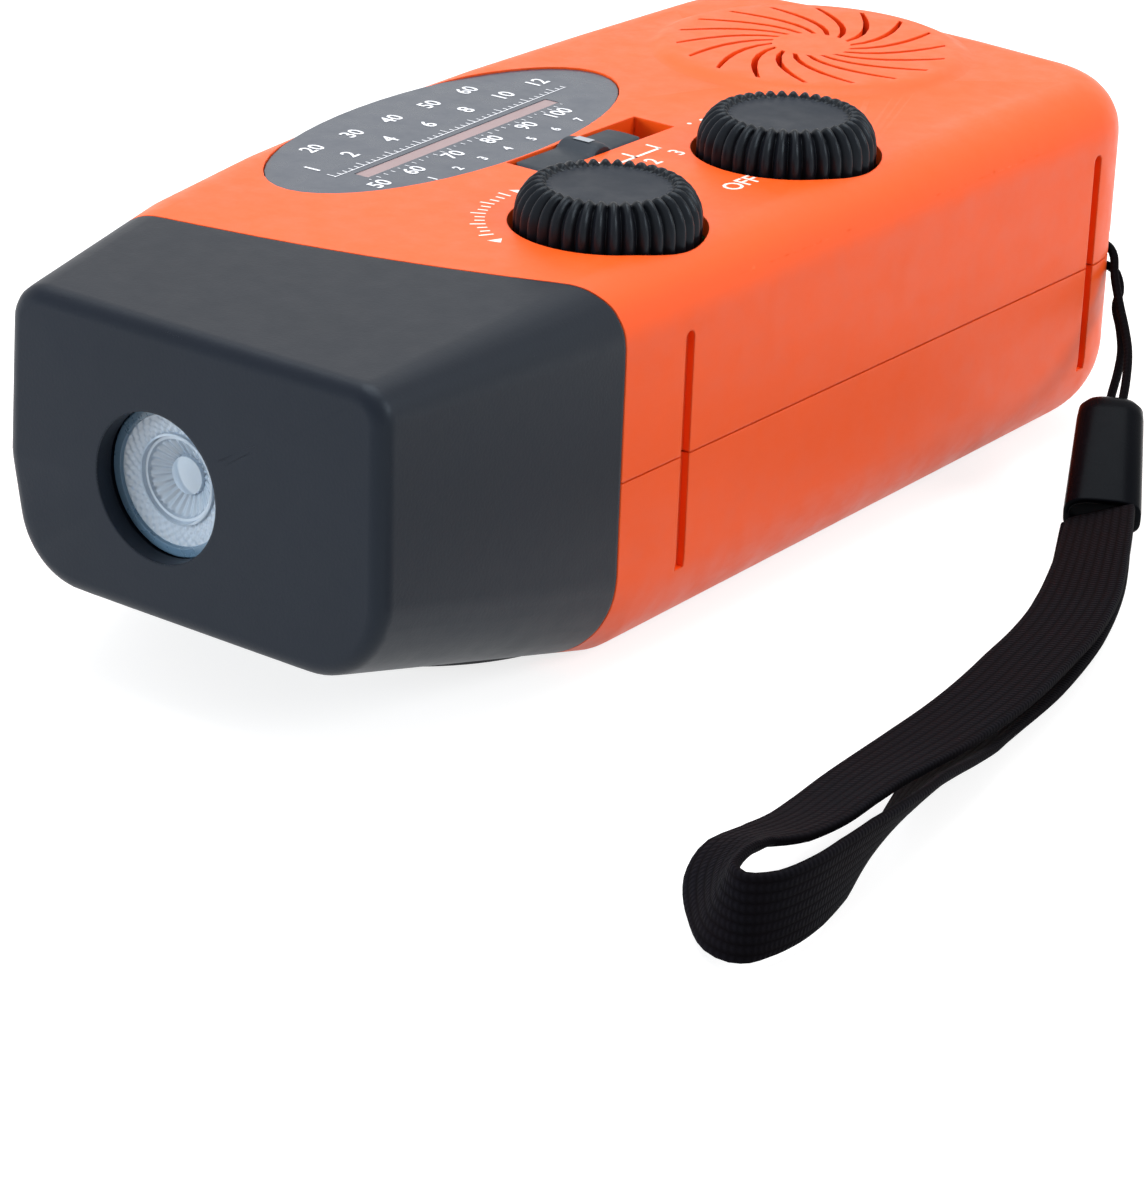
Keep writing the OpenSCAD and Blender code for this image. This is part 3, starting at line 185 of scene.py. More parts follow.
def weave(name, rgb, across, along, depth):
    """Ribbed webbing on the UV map, which is in metres: u runs along the band and v across it."""
    mat, tree, bsdf = graph(name)
    coord = tree.nodes.new("ShaderNodeTexCoord")
    split = tree.nodes.new("ShaderNodeSeparateXYZ")
    tree.links.new(coord.outputs["UV"], split.inputs[0])
    u = add_math(tree, "MULTIPLY", split.outputs[0], 2 * math.pi / along)
    v = add_math(tree, "MULTIPLY", split.outputs[1], 2 * math.pi / across)
    rib = add_math(tree, "ABSOLUTE", add_math(tree, "SINE", add_math(tree, "MULTIPLY", v, 0.5)))
    slant = add_math(tree, "ADD", u, add_math(tree, "MULTIPLY", rib, 1.6))
    thread = add_math(tree, "MULTIPLY", add_math(tree, "SINE", slant), 0.35)
    height = add_math(tree, "ADD", rib, add_math(tree, "MULTIPLY", thread, rib))
    obj_noise = add_noise(tree, coord.outputs["Object"], 4500, 2)
    height = add_math(tree, "ADD", height, add_math(tree, "MULTIPLY", obj_noise, 0.35))
    # the colour follows the weave's height: painted shade in the valleys between the ribs and painted highlight
    # on their crests
    fac = add_range(tree, height, 0.1, 1.4, 0, 1)
    colour = add_mix(tree, fac, shade(rgb, 0.45), shade(rgb, 1.5))
    cloud = add_range(tree, add_noise(tree, coord.outputs["Object"], 120, 3), 0.3, 0.7, 0, 0.35)
    colour = add_mix(tree, cloud, colour, lin(18, 11, 13))
    tree.links.new(colour, bsdf.inputs["Base Color"])
    tree.links.new(add_range(tree, obj_noise, 0.3, 0.7, 0.72, 0.9), bsdf.inputs["Roughness"])
    bump = tree.nodes.new("ShaderNodeBump")
    bump.inputs["Distance"].default_value = depth
    bump.inputs["Strength"].default_value = 1.0
    tree.links.new(height, bump.inputs["Height"])
    tree.links.new(bump.outputs[0], bsdf.inputs["Normal"])
    bsdf.inputs["Sheen Weight"].default_value = 0.01
    bsdf.inputs["Sheen Roughness"].default_value = 0.4
    bsdf.inputs["IOR"].default_value = 1.08
    return mat


def cells(name):
    """Dark blue solar cells with thin silver fingers, drawn over the panel's own length and height."""
    mat, tree, bsdf = graph(name)
    coord = tree.nodes.new("ShaderNodeTexCoord")
    split = tree.nodes.new("ShaderNodeSeparateXYZ")
    tree.links.new(coord.outputs["Object"], split.inputs[0])

    def lines(value, pitch, width):
        saw = add_math(tree, "FRACT", add_math(tree, "DIVIDE", value, pitch))
        return add_math(tree, "LESS_THAN", saw, width / pitch)

    fingers = lines(split.outputs[1], 0.0012, 0.00016)
    bars = lines(split.outputs[2], 0.0062, 0.0005)
    gaps = lines(split.outputs[1], 0.0096, 0.0006)
    cloud = add_range(tree, add_noise(tree, coord.outputs["Object"], 500, 4), 0.3, 0.7, 0, 1)
    colour = add_mix(tree, cloud, lin(14, 20, 48), lin(22, 32, 72))
    colour = add_mix(tree, add_math(tree, "MULTIPLY", fingers, 0.6), colour, lin(120, 128, 140))
    colour = add_mix(tree, bars, colour, lin(170, 175, 180))
    colour = add_mix(tree, gaps, colour, lin(8, 8, 12))
    tree.links.new(colour, bsdf.inputs["Base Color"])
    tree.links.new(add_range(tree, cloud, 0, 1, 0.18, 0.3), bsdf.inputs["Roughness"])
    bump = tree.nodes.new("ShaderNodeBump")
    bump.inputs["Distance"].default_value = 2e-5
    tree.links.new(add_math(tree, "SUBTRACT", 1.0, gaps), bump.inputs["Height"])
    tree.links.new(bump.outputs[0], bsdf.inputs["Normal"])
    bsdf.inputs["Coat Weight"].default_value = 0.7
    bsdf.inputs["Coat Roughness"].default_value = 0.06
    return mat


def board(name):
    """Green circuit board with traces and pads under the lacquer."""
    mat, tree, bsdf = graph(name)
    coord = tree.nodes.new("ShaderNodeTexCoord")
    cell = tree.nodes.new("ShaderNodeTexVoronoi")
    cell.feature = "DISTANCE_TO_EDGE"
    cell.distance = "CHEBYCHEV" if hasattr(cell, "distance") else "EUCLIDEAN"
    cell.inputs["Scale"].default_value = 420
    tree.links.new(coord.outputs["Object"], cell.inputs["Vector"])
    trace = add_range(tree, cell.outputs[0], 0.05, 0.09, 1, 0)
    colour = add_mix(tree, trace, lin(20, 84, 50), lin(52, 128, 78))
    pads = tree.nodes.new("ShaderNodeTexVoronoi")
    pads.inputs["Scale"].default_value = 300
    tree.links.new(coord.outputs["Object"], pads.inputs["Vector"])
    colour = add_mix(tree, add_range(tree, pads.outputs[0], 0.13, 0.17, 1, 0), colour, lin(196, 178, 120))
    tree.links.new(colour, bsdf.inputs["Base Color"])
    tree.links.new(add_range(tree, trace, 0, 1, 0.34, 0.26), bsdf.inputs["Roughness"])
    bump = tree.nodes.new("ShaderNodeBump")
    bump.inputs["Distance"].default_value = 3e-5
    tree.links.new(trace, bump.inputs["Height"])
    tree.links.new(bump.outputs[0], bsdf.inputs["Normal"])
    return mat


def banded(name, rgb, groove_shade, pitch, axis, rough=0.35, metal=0.0, depth=5e-5):
    """Fine turns or rings along one axis, such as a wire winding or turned metal, with painted shade in the
    grooves between them.
    """
    mat, tree, bsdf = graph(name)
    coord = tree.nodes.new("ShaderNodeTexCoord")
    split = tree.nodes.new("ShaderNodeSeparateXYZ")
    tree.links.new(coord.outputs["Object"], split.inputs[0])
    wave = add_math(tree, "SINE", add_math(tree, "MULTIPLY", split.outputs[axis], 2 * math.pi / pitch))
    wobble = add_noise(tree, coord.outputs["Object"], 1500, 2)
    height = add_math(tree, "ADD", wave, add_math(tree, "MULTIPLY", wobble, 0.5))
    # the low parts of the wave take the darker colour: painted shade between the turns
    tree.links.new(add_mix(tree, add_range(tree, height, -0.8, 1.2, 0, 1), groove_shade, rgb),
                   bsdf.inputs["Base Color"])
    tree.links.new(add_range(tree, wobble, 0.3, 0.7, rough - 0.06, rough + 0.08), bsdf.inputs["Roughness"])
    bump = tree.nodes.new("ShaderNodeBump")
    bump.inputs["Distance"].default_value = depth
    tree.links.new(height, bump.inputs["Height"])
    tree.links.new(bump.outputs[0], bsdf.inputs["Normal"])
    bsdf.inputs["Metallic"].default_value = metal
    return mat


ORANGE = lin(247, 87, 20)
COOL = (0.74, 0.88, 1.0, 1)
M = {
    "case": finish("case_orange", ORANGE, rough=0.42, grain=4200, depth=2.5e-6, var=0.02, wear=0.1,
                   soften=0.00025, IOR=1.4),
    "head": finish("head_black", lin(12, 16, 26), rough=0.44, grain=3000, depth=1.3e-5, var=0.06, wear=0.12,
                   spread=0.025, soften=0.0004, IOR=1.34, Specular_Tint=COOL),
    "knob": finish("knob_black", lin(13, 15, 20), rough=0.33, grain=3600, depth=4e-6, var=0.08, wear=0.15,
                   soften=0.00015, IOR=1.3, Specular_Tint=COOL),
    # the knob's own black plastic, made lighter for the upward flat top: painted light, with a rougher matt
    # finish
    "knob_top": finish("knob_top_matt", lin(30, 34, 42), rough=0.5, grain=4200, depth=7e-6, var=0.08,
                       soften=0, IOR=1.3, Specular_Tint=COOL),
    "slider": finish("slider_grey", lin(40, 45, 52), rough=0.48, grain=3600, depth=6e-6, var=0.06,
                     wear=0.25,
                     soften=0.0002, IOR=1.3, Specular_Tint=COOL),
    "black": finish("black_plastic", lin(28, 30, 37), rough=0.46, grain=3200, depth=7e-6, var=0.08,
                    wear=0.2),
    "clamp": finish("clamp_black", lin(7, 8, 12), rough=0.26, grain=3000, depth=3e-6, var=0.08, wear=0.05,
                    spread=0.03,
                    soften=0.0003, IOR=1.1, Specular_Tint=COOL),
    "dial": finish("dial_gloss", lin(50, 57, 70), rough=0.3, grain=2600, depth=8e-7, var=0.04, wear=0.3,
                   soften=0.0002, IOR=1.4, Coat_Weight=0.3, Coat_Roughness=0.1, Specular_Tint=COOL),
    "strip": finish("strip_frosted", lin(176, 150, 152), rough=0.35, grain=2400, depth=3e-6, var=0.05,
                    soften=0.0001, Transmission_Weight=0.35),
    "lens": finish("lens_clear", lin(205, 220, 235), rough=0.08, grain=900, depth=3e-6, var=0.03,
                   spread=0.03,
                   soften=0, Transmission_Weight=0.5, IOR=1.49, Coat_Weight=1.0, Coat_Roughness=0.03),
    "lens_rim": finish("lens_rim_frosted", lin(96, 126, 150), rough=0.3, grain=2400, depth=6e-6, var=0.06,
                       soften=0.0001, Transmission_Weight=0.3, Coat_Weight=0.5),
    "cup": finish("cup_metal", lin(214, 222, 230), rough=0.16, grain=1500, depth=6e-6, var=0.05, metal=0.8,
                  soften=0.0001),
    "led": finish("led_yellow", lin(232, 205, 92), rough=0.3, grain=2500, depth=5e-6, var=0.08,
                  soften=0.0001,
                  Coat_Weight=0.5),
    "print": finish("print_white", lin(222, 224, 230), rough=0.5, grain=5000, depth=2e-6, var=0.04,
                    soften=0),
    "print_case": finish("print_case_white", lin(244, 226, 216), rough=0.5, grain=5000, depth=2e-6,
                         var=0.04,
                         soften=0),
    "red": finish("pointer_red", lin(196, 28, 24), rough=0.35, grain=3000, depth=3e-6, var=0.06),
    "ivory": finish("ivory_plastic", lin(222, 214, 192), rough=0.4, grain=3000, depth=4e-6, var=0.04),
    "cord": finish("cord_grey", lin(150, 150, 146), rough=0.7, grain=5200, depth=2e-5, var=0.12, soften=0),
    "steel": finish("steel", lin(178, 180, 184), rough=0.28, grain=2600, depth=5e-6, var=0.06, metal=1.0,
                    soften=0.00012, stretch=(1, 1, 0.15)),
    "plated": finish("plated", lin(205, 206, 208), rough=0.2, grain=2200, depth=3e-6, var=0.05, metal=1.0,
                     soften=0.00012),
    "mast": finish("mast_chrome", lin(214, 216, 220), rough=0.13, grain=2600, depth=2e-6, var=0.04,
                   metal=1.0,
                   soften=0.00012, stretch=(1, 0.05, 1)),
    "pcb": board("pcb_green"),
    "chip": finish("chip_black", lin(28, 28, 30), rough=0.55, grain=4200, depth=8e-6, var=0.1, wear=0.2),
    "ferrite": finish("ferrite", lin(52, 50, 50), rough=0.62, grain=2200, depth=2e-5, var=0.14),
    "copper": banded("copper_wire", lin(206, 116, 62), lin(96, 44, 22), 0.00032, 0, 0.3, 0.85),
    "cell": finish("cell_wrap", lin(46, 96, 142), rough=0.32, grain=2600, depth=4e-6, var=0.06,
                   Coat_Weight=0.4),
    "magnet": finish("magnet_metal", lin(120, 122, 126), rough=0.42, grain=1800, depth=1e-5, var=0.1,
                     metal=0.9),
    "paper": finish("cone_paper", lin(44, 42, 42), rough=0.85, grain=1800, depth=4e-5, var=0.16, soften=0),
    "solar": cells("solar_blue"),
    "rubber": finish("rubber_black", lin(38, 38, 42), rough=0.66, grain=2800, depth=1.4e-5, var=0.1,
                     wear=0.1),
    "screw": finish("screw_metal", lin(150, 150, 152), rough=0.32, grain=2200, depth=5e-6, var=0.08,
                    metal=1.0,
                    soften=0.00015),
    "web": weave("strap_web", lin(13, 13, 17), 0.00105, 0.00055, 7e-5),
    "string": weave("strap_twine", lin(11, 11, 14), 0.0008, 0.0007, 5e-5),
}
LIGHT_MARK = finish("mark_light", lin(150, 156, 164), rough=0.4, grain=3000, depth=3e-6, var=0.05)


# ---- mesh helpers ---------------------------------------------------------------------------
def new_object(name, bm, mat, body, smooth=None):
    mesh = bpy.data.meshes.new(name)
    bmesh.ops.recalc_face_normals(bm, faces=bm.faces)
    if smooth is not None:
        for f in bm.faces:
            f.smooth = True
        for e in bm.edges:
            e.smooth = len(e.link_faces) == 2 and e.calc_face_angle(0) < math.radians(smooth)
    bm.to_mesh(mesh)
    bm.free()
    mesh.materials.append(mat)
    obj = bpy.data.objects.new(name, mesh)
    scene.collection.objects.link(obj)
    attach(obj, body)
    return obj


def arch_x(y):
    """The arched side's distance from the middle plane."""
    u, v = max(0.0, (14 - y) / 84), max(0.0, (y - 14) / 44)
    return -31 + 13.8 * u * u + 1.1 * v * v


TOP_R, BACK_R, FACE_R = 6.2, 10, 1.8  # edge radii at the front panel, the back face and the torch face
TOP_Z, FACE_Y = 34.8, -68.2  # where the rounding of the front panel and of the torch face begins
SIDES = 64  # points round each puck


class Skin:
    """The case's whole convex outside, rounded more finely than the solids, to smooth their faceted edges."""

    def __init__(self):
        self.bm = bmesh.new()
        for k in (0.04, 0.19, 0.36, 0.53, 0.70, 0.83):
            y = -46 + 116 * k
            self.puck(arch_x(y) + 8, y, 8)
        for x, y, r in ((23, -30, 8), (19, 56.6, 12), (arch_x(55) + 13, 55.1, 13), (-3, 57, 13),
                        (8, 56.6, 13)):
            self.puck(x, y, r)
        left = arch_x(-70)
        for x, z, r in ((left + 4.6, 36.2, 4), (26.8, 36.6, 3.6), (left + 9, 17.5, 8), (21.1, 19, 9.5),
                        (left + 5, 22.55, 5)):
            self.face_puck(x, z, r)
        hull = bmesh.ops.convex_hull(self.bm, input=self.bm.verts)
        inside = {v for v in hull["geom_interior"] + hull["geom_unused"] if isinstance(v,
                                                                                       bmesh.types.BMVert)}
        bmesh.ops.delete(self.bm, geom=list(inside | {v for v in self.bm.verts if not v.link_faces}),
                         context="VERTS")
        bmesh.ops.recalc_face_normals(self.bm, faces=self.bm.faces)
        self.bm.faces.ensure_lookup_table()
        self.normals = {}
        for v in self.bm.verts:
            total = Vector()
            for f in v.link_faces:
                total += f.normal * f.calc_area()
            self.normals[v] = total.normalized()
        self.tree = BVHTree.FromBMesh(self.bm)

    def puck(self, x, y, r):
        c1, c2 = max(0, r - TOP_R), max(0, r - BACK_R)
        arc = [math.radians(6 * k) for k in range(16)]
        profile = [(c2 + (r - c2) * math.sin(a), BACK_R - BACK_R * math.cos(a)) for a in arc]
        profile += [(c1 + (r - c1) * math.sin(a), TOP_Z + TOP_R * math.cos(a)) for a in arc]
        for rr, z in profile:
            for j in range(SIDES):
                q = 2 * math.pi * j / SIDES
                self.bm.verts.new(Vector((x + rr * math.cos(q), y + rr * math.sin(q), z)) * MM)

    def face_puck(self, x, z, r):
        arc = [math.radians(10 * k) for k in range(10)]
        for rr, y in [(r - FACE_R + FACE_R * math.sin(a),
                       FACE_Y - FACE_R * math.cos(a)) for a in arc] + [(r, -67.6)]:
            for j in range(SIDES):
                q = 2 * math.pi * j / SIDES
                self.bm.verts.new(Vector((x + rr * math.cos(q), y, z + rr * math.sin(q))) * MM)

    def near(self, co):
        """(nearest point, smooth normal there, distance) on the skin."""
        point, _, index, distance = self.tree.find_nearest(co)
        a, b, c = self.bm.faces[index].verts[:3]
        share = barycentric_transform(point, a.co, b.co, c.co, Vector((1, 0, 0)), Vector((0, 1, 0)),
                                      Vector((0, 0, 1)))
        normal = self.normals[a] * share.x + self.normals[b] * share.y + self.normals[c] * share.z
        return point, normal.normalized(), distance


REACH = 0.00017  # a point this near to the skin is part of the outside and is moved onto it
SHORT = 0.0011  # edges under this length are not divided
SAG = 8e-6  # an edge whose middle is further from the skin than this is divided
TURNED = 0.9985  # and so is an edge whose ends' normals have a smaller dot product than this


def dressed(node, name, body, mat, skin):
    """A copy of a CAD node's mesh that stands in for it, with its outside drawn onto the finer skin."""
    bm = bmesh.new()
    bm.from_mesh(nodes[node].data)
    bmesh.ops.remove_doubles(bm, verts=bm.verts, dist=2e-6)
    bmesh.ops.recalc_face_normals(bm, faces=bm.faces)
    for _ in range(7):
        at = {v: skin.near(v.co) for v in bm.verts}
        long = []
        for e in bm.edges:
            a, b = (at[v] for v in e.verts)
            if a[2] > REACH or b[2] > REACH or e.calc_length() < SHORT:
                continue
            if max((f.normal.dot(a[1]) for f in e.link_faces), default=0) < 0.85:
                continue
            middle = skin.near((e.verts[0].co + e.verts[1].co) / 2)
            if middle[2] > SAG or (a[1].dot(b[1]) < TURNED and middle[2] < REACH):
                long.append(e)
        if not long:
            break
        bmesh.ops.subdivide_edges(bm, edges=long, cuts=1)
        bmesh.ops.triangulate(bm, faces=[f for f in bm.faces if len(f.verts) > 3])
    for v in bm.verts:
        point, _, distance = skin.near(v.co)
        if distance < REACH:
            v.co = point
    obj = new_object(name, bm, mat, body, 32)
    mesh = obj.data
    at = [skin.near(v.co) for v in mesh.vertices]
    normals = [Vector(n.vector) for n in mesh.corner_normals]
    for f in mesh.polygons:
        if all(at[i][2] < 2e-6 and f.normal.dot(at[i][1]) > 0.9 for i in f.vertices):
            for k, i in zip(f.loop_indices, f.vertices):
                normals[k] = at[i][1]
    mesh.normals_split_custom_set(normals)
    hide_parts(node)
    return obj


def paint(mat, *names):
    for n in names:
        mesh = nodes[n].data
        if mesh.materials:
            for i in range(len(mesh.materials)):
                mesh.materials[i] = mat
        else:
            mesh.materials.append(mat)


def loft(bm, rings, closed_ends=True, uv=None):
    """Joins rings of points into a tube of quads, with the UV map in metres along and round it."""
    verts = [[bm.verts.new(p) for p in ring] for ring in rings]
    n = len(rings[0])
    layer = bm.loops.layers.uv.verify() if uv else None
    for i in range(len(rings) - 1):
        for j in range(n):
            k = (j + 1) % n
            f = bm.faces.new((verts[i][j], verts[i][k], verts[i + 1][k], verts[i + 1][j]))
            if uv:
                along, around = uv
                top = around[j + 1]
                for loop, (a, b) in zip(f.loops,
                                        ((i, around[j]), (i, top), (i + 1, top), (i + 1, around[j]))):
                    loop[layer].uv = (along[a], b)
    if closed_ends:
        bm.faces.new(verts[0][::-1])
        bm.faces.new(verts[-1])
    return verts


def smooth_route(points, step, extra=None):
    """The route through the given points, every `step` metres, with a second list of values carried along."""
    out, vals = [], []
    n = len(points)
    for i in range(n - 1):
        p0, p1, p2, p3 = (points[max(0, min(n - 1, k))] for k in (i - 1, i, i + 1, i + 2))
        count = max(2, round((p2 - p1).length / step))
        for c in range(count + (i == n - 2)):
            t = c / count
            out.append(0.5 * (2 * p1 + (p2 - p0) * t + (2 * p0 - 5 * p1 + 4 * p2 - p3) * t * t
                              + (3 * p1 - p0 - 3 * p2 + p3) * t ** 3))
            if extra:
                vals.append([a + (b - a) * t for a, b in zip(extra[i], extra[i + 1])])
    return out, vals


def direction(points, i):
    return (points[min(i + 1, len(points) - 1)] - points[max(i - 1, 0)]).normalized()


# ---- wrist strap ----------------------------------------------------------------------------
STRING = [(43.9, 42.3, 10.5), (43.2, 44, 11.2), (41.7, 47.1, 12.5), (39.6, 50.8, 13.9), (37.2, 54, 15.2),
          (34.4, 57.3, 16.7), (32, 60, 18.6), (30.3, 62.4, 20.2), (28.8, 63.6, 20.8), (27.2, 63.9, 21),
          (25.8, 63.4, 21), (25, 62.3, 20.9), (25.4, 61, 20.6), (26.8, 60.4, 20.2), (28.4, 61.2, 19.6),
          (30.5, 62.3, 18.7), (32, 61.4, 17), (33, 59, 15.6), (35.4, 56, 14.4), (37.5, 53, 13.1),
          (39.2, 49.6, 12), (40.8, 45.8, 10.9), (42.4, 42, 9.8)]
WEB = [(50.2, 28.6, 4), (56.4, 16.2, 4.7), (61.6, 4.6, 5), (64.6, -4.4, 5.3), (66.5, -13, 5.5),
       (68, -21, 5.6),
       (68.8, -28, 5.6), (69.2, -35, 5.6), (69.3, -41, 5.6), (69.4, -46.5, 5.6), (69.8, -52, 5.6),
       (70.2, -57, 5.7), (69.8, -61.2, 5.8), (68.6, -65, 5.8), (69.2, -68.6, 5.5), (71.2, -72.4, 5.3),
       (73.6, -75.4, 5.2), (76.4, -76, 5.2), (78, -73.6, 5.2), (78.6, -69.6, 5.2), (78.3, -65, 5.1),
       (77.4, -59.5, 4.9), (76.2, -54.5, 4.7), (74.8, -49, 4.4), (73.4, -44, 4), (71.6, -37.5, 3.2),
       (69.8, -31, 2.5), (67.8, -24.5, 2), (65.4, -12, 1.7), (61.8, 1.5, 1.7), (56.8, 14.8, 1.8),
       (50, 28.2, 2.4)]
TURN = [-20, -18, -12, -8, -6, -6, -7, -8, -11, -14, -16, -16, -16, -22, -36, -58, -76, -92, -98, -99, -101,
        -107, -118, -128, -134, -146, -156, -164, -170, -174, -177, -180]


def lengths(route):
    total = [0.0]
    for a, b in zip(route, route[1:]):
        total.append(total[-1] + (b - a).length)
    return total


def make_strap():
    # clamp: a moulded sleeve that tapers to the string and is open where the webbing goes in
    a, b = Vector((42.4, 43, 10.4)) * MM, Vector((50.1, 29.1, 3.5)) * MM
    axis = (b - a).normalized()
    wide = Vector((0, 0, 1)).cross(axis).normalized()
    thick = axis.cross(wide)
    length = (b - a).length
    rings = []
    for t, w, h in ((0.2, 0.5, 0.5), (0.22, 0.6, 0.62), (0.6, 0.68, 0.74), (1.6, 0.84, 0.92),
                    (3, 0.87, 0.95),
                    (length / MM - 0.5, 0.99, 0.99), (length / MM - 0.1, 0.985, 0.98),
                    (length / MM, 0.95, 0.94),
                    (length / MM, 0.84, 0.74), (length / MM - 0.8, 0.82, 0.7)):
        ring = []
        for j in range(48):
            q = 2 * math.pi * j / 48
            c, s = math.cos(q), math.sin(q)
            x = 4.25 * MM * w * math.copysign(abs(c) ** 0.62, c)
            y = 2.7 * MM * h * math.copysign(abs(s) ** 0.62, s)
            ring.append(a + axis * t * MM + wide * x + thick * y)
        rings.append(ring)
    bm = bmesh.new()
    loft(bm, rings)
    clamp = new_object("clamp_sleeve", bm, M["clamp"], "radio_body", 40)
    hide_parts("strap_clamp")

    # string
    pts = [Vector(p) * MM for p in STRING]
    route, _ = smooth_route(pts, 0.0006)
    along = lengths(route)
    rings = []
    for i, p in enumerate(route):
        d = direction(route, i)
        u = d.cross(Vector((0.1, 0.05, 1))).normalized()
        v = d.cross(u)
        rings.append([p + 0.0005 * (u * math.cos(q) + v * math.sin(q))
                      for q in (2 * math.pi * j / 14 for j in range(14))])
    bm = bmesh.new()
    loft(bm, rings, uv=(along, [0.00314 * j / 14 for j in range(15)]))
    string = new_object("strap_twine", bm, M["string"], "radio_body", 60)
    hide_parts("strap_string")

    # webbing: a flat woven tube with rounded, slightly thicker edges
    pts = [Vector(p) * MM for p in WEB]
    n = len(pts)
    carried = []
    for i in range(n):
        k = min(i, n - 1 - i)
        carried.append((TURN[i], (0.85, 0.93)[k] if k < 2 else 1.0))
    route, vals = smooth_route(pts, 0.0009, carried)
    along = lengths(route)
    section = []
    for j in range(40):
        q = 2 * math.pi * j / 40
        c, s = math.cos(q), math.sin(q)
        x = math.copysign(abs(c) ** 0.3, c)
        y = math.copysign(abs(s) ** 0.55, s) * (0.82 + 0.18 * abs(x) ** 3)
        section.append((x * 4.48, y * 0.6))
    around = [0.0]
    for j in range(40):
        p, q = section[j], section[(j + 1) % 40]
        around.append(around[-1] + math.hypot(q[0] - p[0], q[1] - p[1]) * MM)
    rings = []
    for i, p in enumerate(route):
        turn, w = vals[i]
        d = direction(route, i)
        h = d.cross(Vector((0, 0, 1))).normalized()
        v = h.cross(d)
        u = h * math.cos(math.radians(turn)) + v * math.sin(math.radians(turn))
        b2 = d.cross(u)
        rings.append([p + u * x * w * MM + b2 * y * MM for x, y in section])
    bm = bmesh.new()
    loft(bm, rings, uv=(along, around))
    web = new_object("strap_band", bm, M["web"], "radio_body", 70)
    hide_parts("strap_webbing")


# ---- printing -------------------------------------------------------------------------------
class Print:
    """Collects flat print: numerals, ticks and bars a few hundredths of a millimetre above a surface."""

    def __init__(self, z):
        self.bm = bmesh.new()
        self.z = z

    def quad(self, pts):
        self.bm.faces.new([self.bm.verts.new((x * MM, y * MM, self.z * MM)) for x, y in pts])

    def bar(self, x0, y0, x1, y1, w):
        d = Vector((x1 - x0, y1 - y0)).normalized()
        n = Vector((-d.y, d.x)) * w / 2
        self.quad([(x0 + n.x, y0 + n.y), (x0 - n.x, y0 - n.y), (x1 - n.x, y1 - n.y), (x1 + n.x, y1 + n.y)])

    def dot(self, x, y, r):
        self.quad([(x + r * math.cos(a), y + r * math.sin(a)) for a in (2 * math.pi * j / 20 for j in range(20))])

    def text(self, word, x, y, size, angle=0.0, bold=0.0):
        """The word is centred on (x, y). At angle 0 it reads along +Y, with its top towards -X."""
        curve = bpy.data.curves.new("word", "FONT")
        curve.body = word
        curve.size = size * MM
        curve.offset = bold * MM
        curve.align_x, curve.align_y = "CENTER", "CENTER"
        curve.resolution_u = 3
        obj = bpy.data.objects.new("word", curve)
        scene.collection.objects.link(obj)
        bpy.context.view_layer.update()
        mesh = bpy.data.meshes.new_from_object(obj.evaluated_get(bpy.context.evaluated_depsgraph_get()))
        mesh.transform(Matrix.Translation((x * MM, y * MM,
                                           self.z * MM)) @ Matrix.Rotation(math.radians(90 + angle), 4,
                                                                           "Z"))
        self.bm.from_mesh(mesh)
        bpy.data.objects.remove(obj)
        bpy.data.curves.remove(curve)
        bpy.data.meshes.remove(mesh)

    def done(self, name, mat, body="radio_body"):
        for f in self.bm.faces:
            f.normal_update()
            if f.normal.z < 0:
                f.normal_flip()
        mesh = bpy.data.meshes.new(name)
        self.bm.to_mesh(mesh)
        self.bm.free()
        mesh.materials.append(mat)
        obj = bpy.data.objects.new(name, mesh)
        scene.collection.objects.link(obj)
        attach(obj, body)
        return obj


def print_dial():
    cx, cy, tilt = -14.8, -4.4, math.radians(3)
    ink = Print(40.83)

    def at(v, u):
        return cx + v * math.cos(tilt) - u * math.sin(tilt), cy + v * math.sin(tilt) + u * math.cos(tilt)

    def row(v, size, words, bold=0.05):
        for u, word in words:
            x, y = at(v, u)
            ink.text(word, x, y, size, 3, bold)

    row(-6.6, 2.7, [(-15, "20"), (-8, "30"), (-1, "40"), (6, "50"), (13, "60")])
    row(-2.4, 2.8, [(-20.5, "1"), (-14, "2"), (-7, "4"), (0, "6"), (7, "8"), (14, "10"), (20.5, "12")])
    row(5.9, 2.6, [(-20, "50"), (-14, "60"), (-7, "70"), (0, "80"), (6.5, "90"), (12.5, "100")])
    row(9.0, 1.7, [(-15, "1"), (-10.5, "2"), (-6, "3"), (-1.5, "4"), (3, "5"), (7.5, "6"), (12, "7")])
    for k in range(43):
        u = -21 + k
        long = k % 5 == 0
        ink.bar(*at(0.9, u), *at(0.9 - (1.1 if long else 0.6), u), 0.16)
    for k in range(29):
        u = -19.5 + k * 1.25
        ink.bar(*at(4.1, u), *at(4.1 + (0.3 if k % 4 else -0.0) + 0.3, u), 0.14)
    ink.bar(*at(0.95, -21.2), *at(0.95, 21.2), 0.12)
    ink.done("dial_numerals", M["print"])


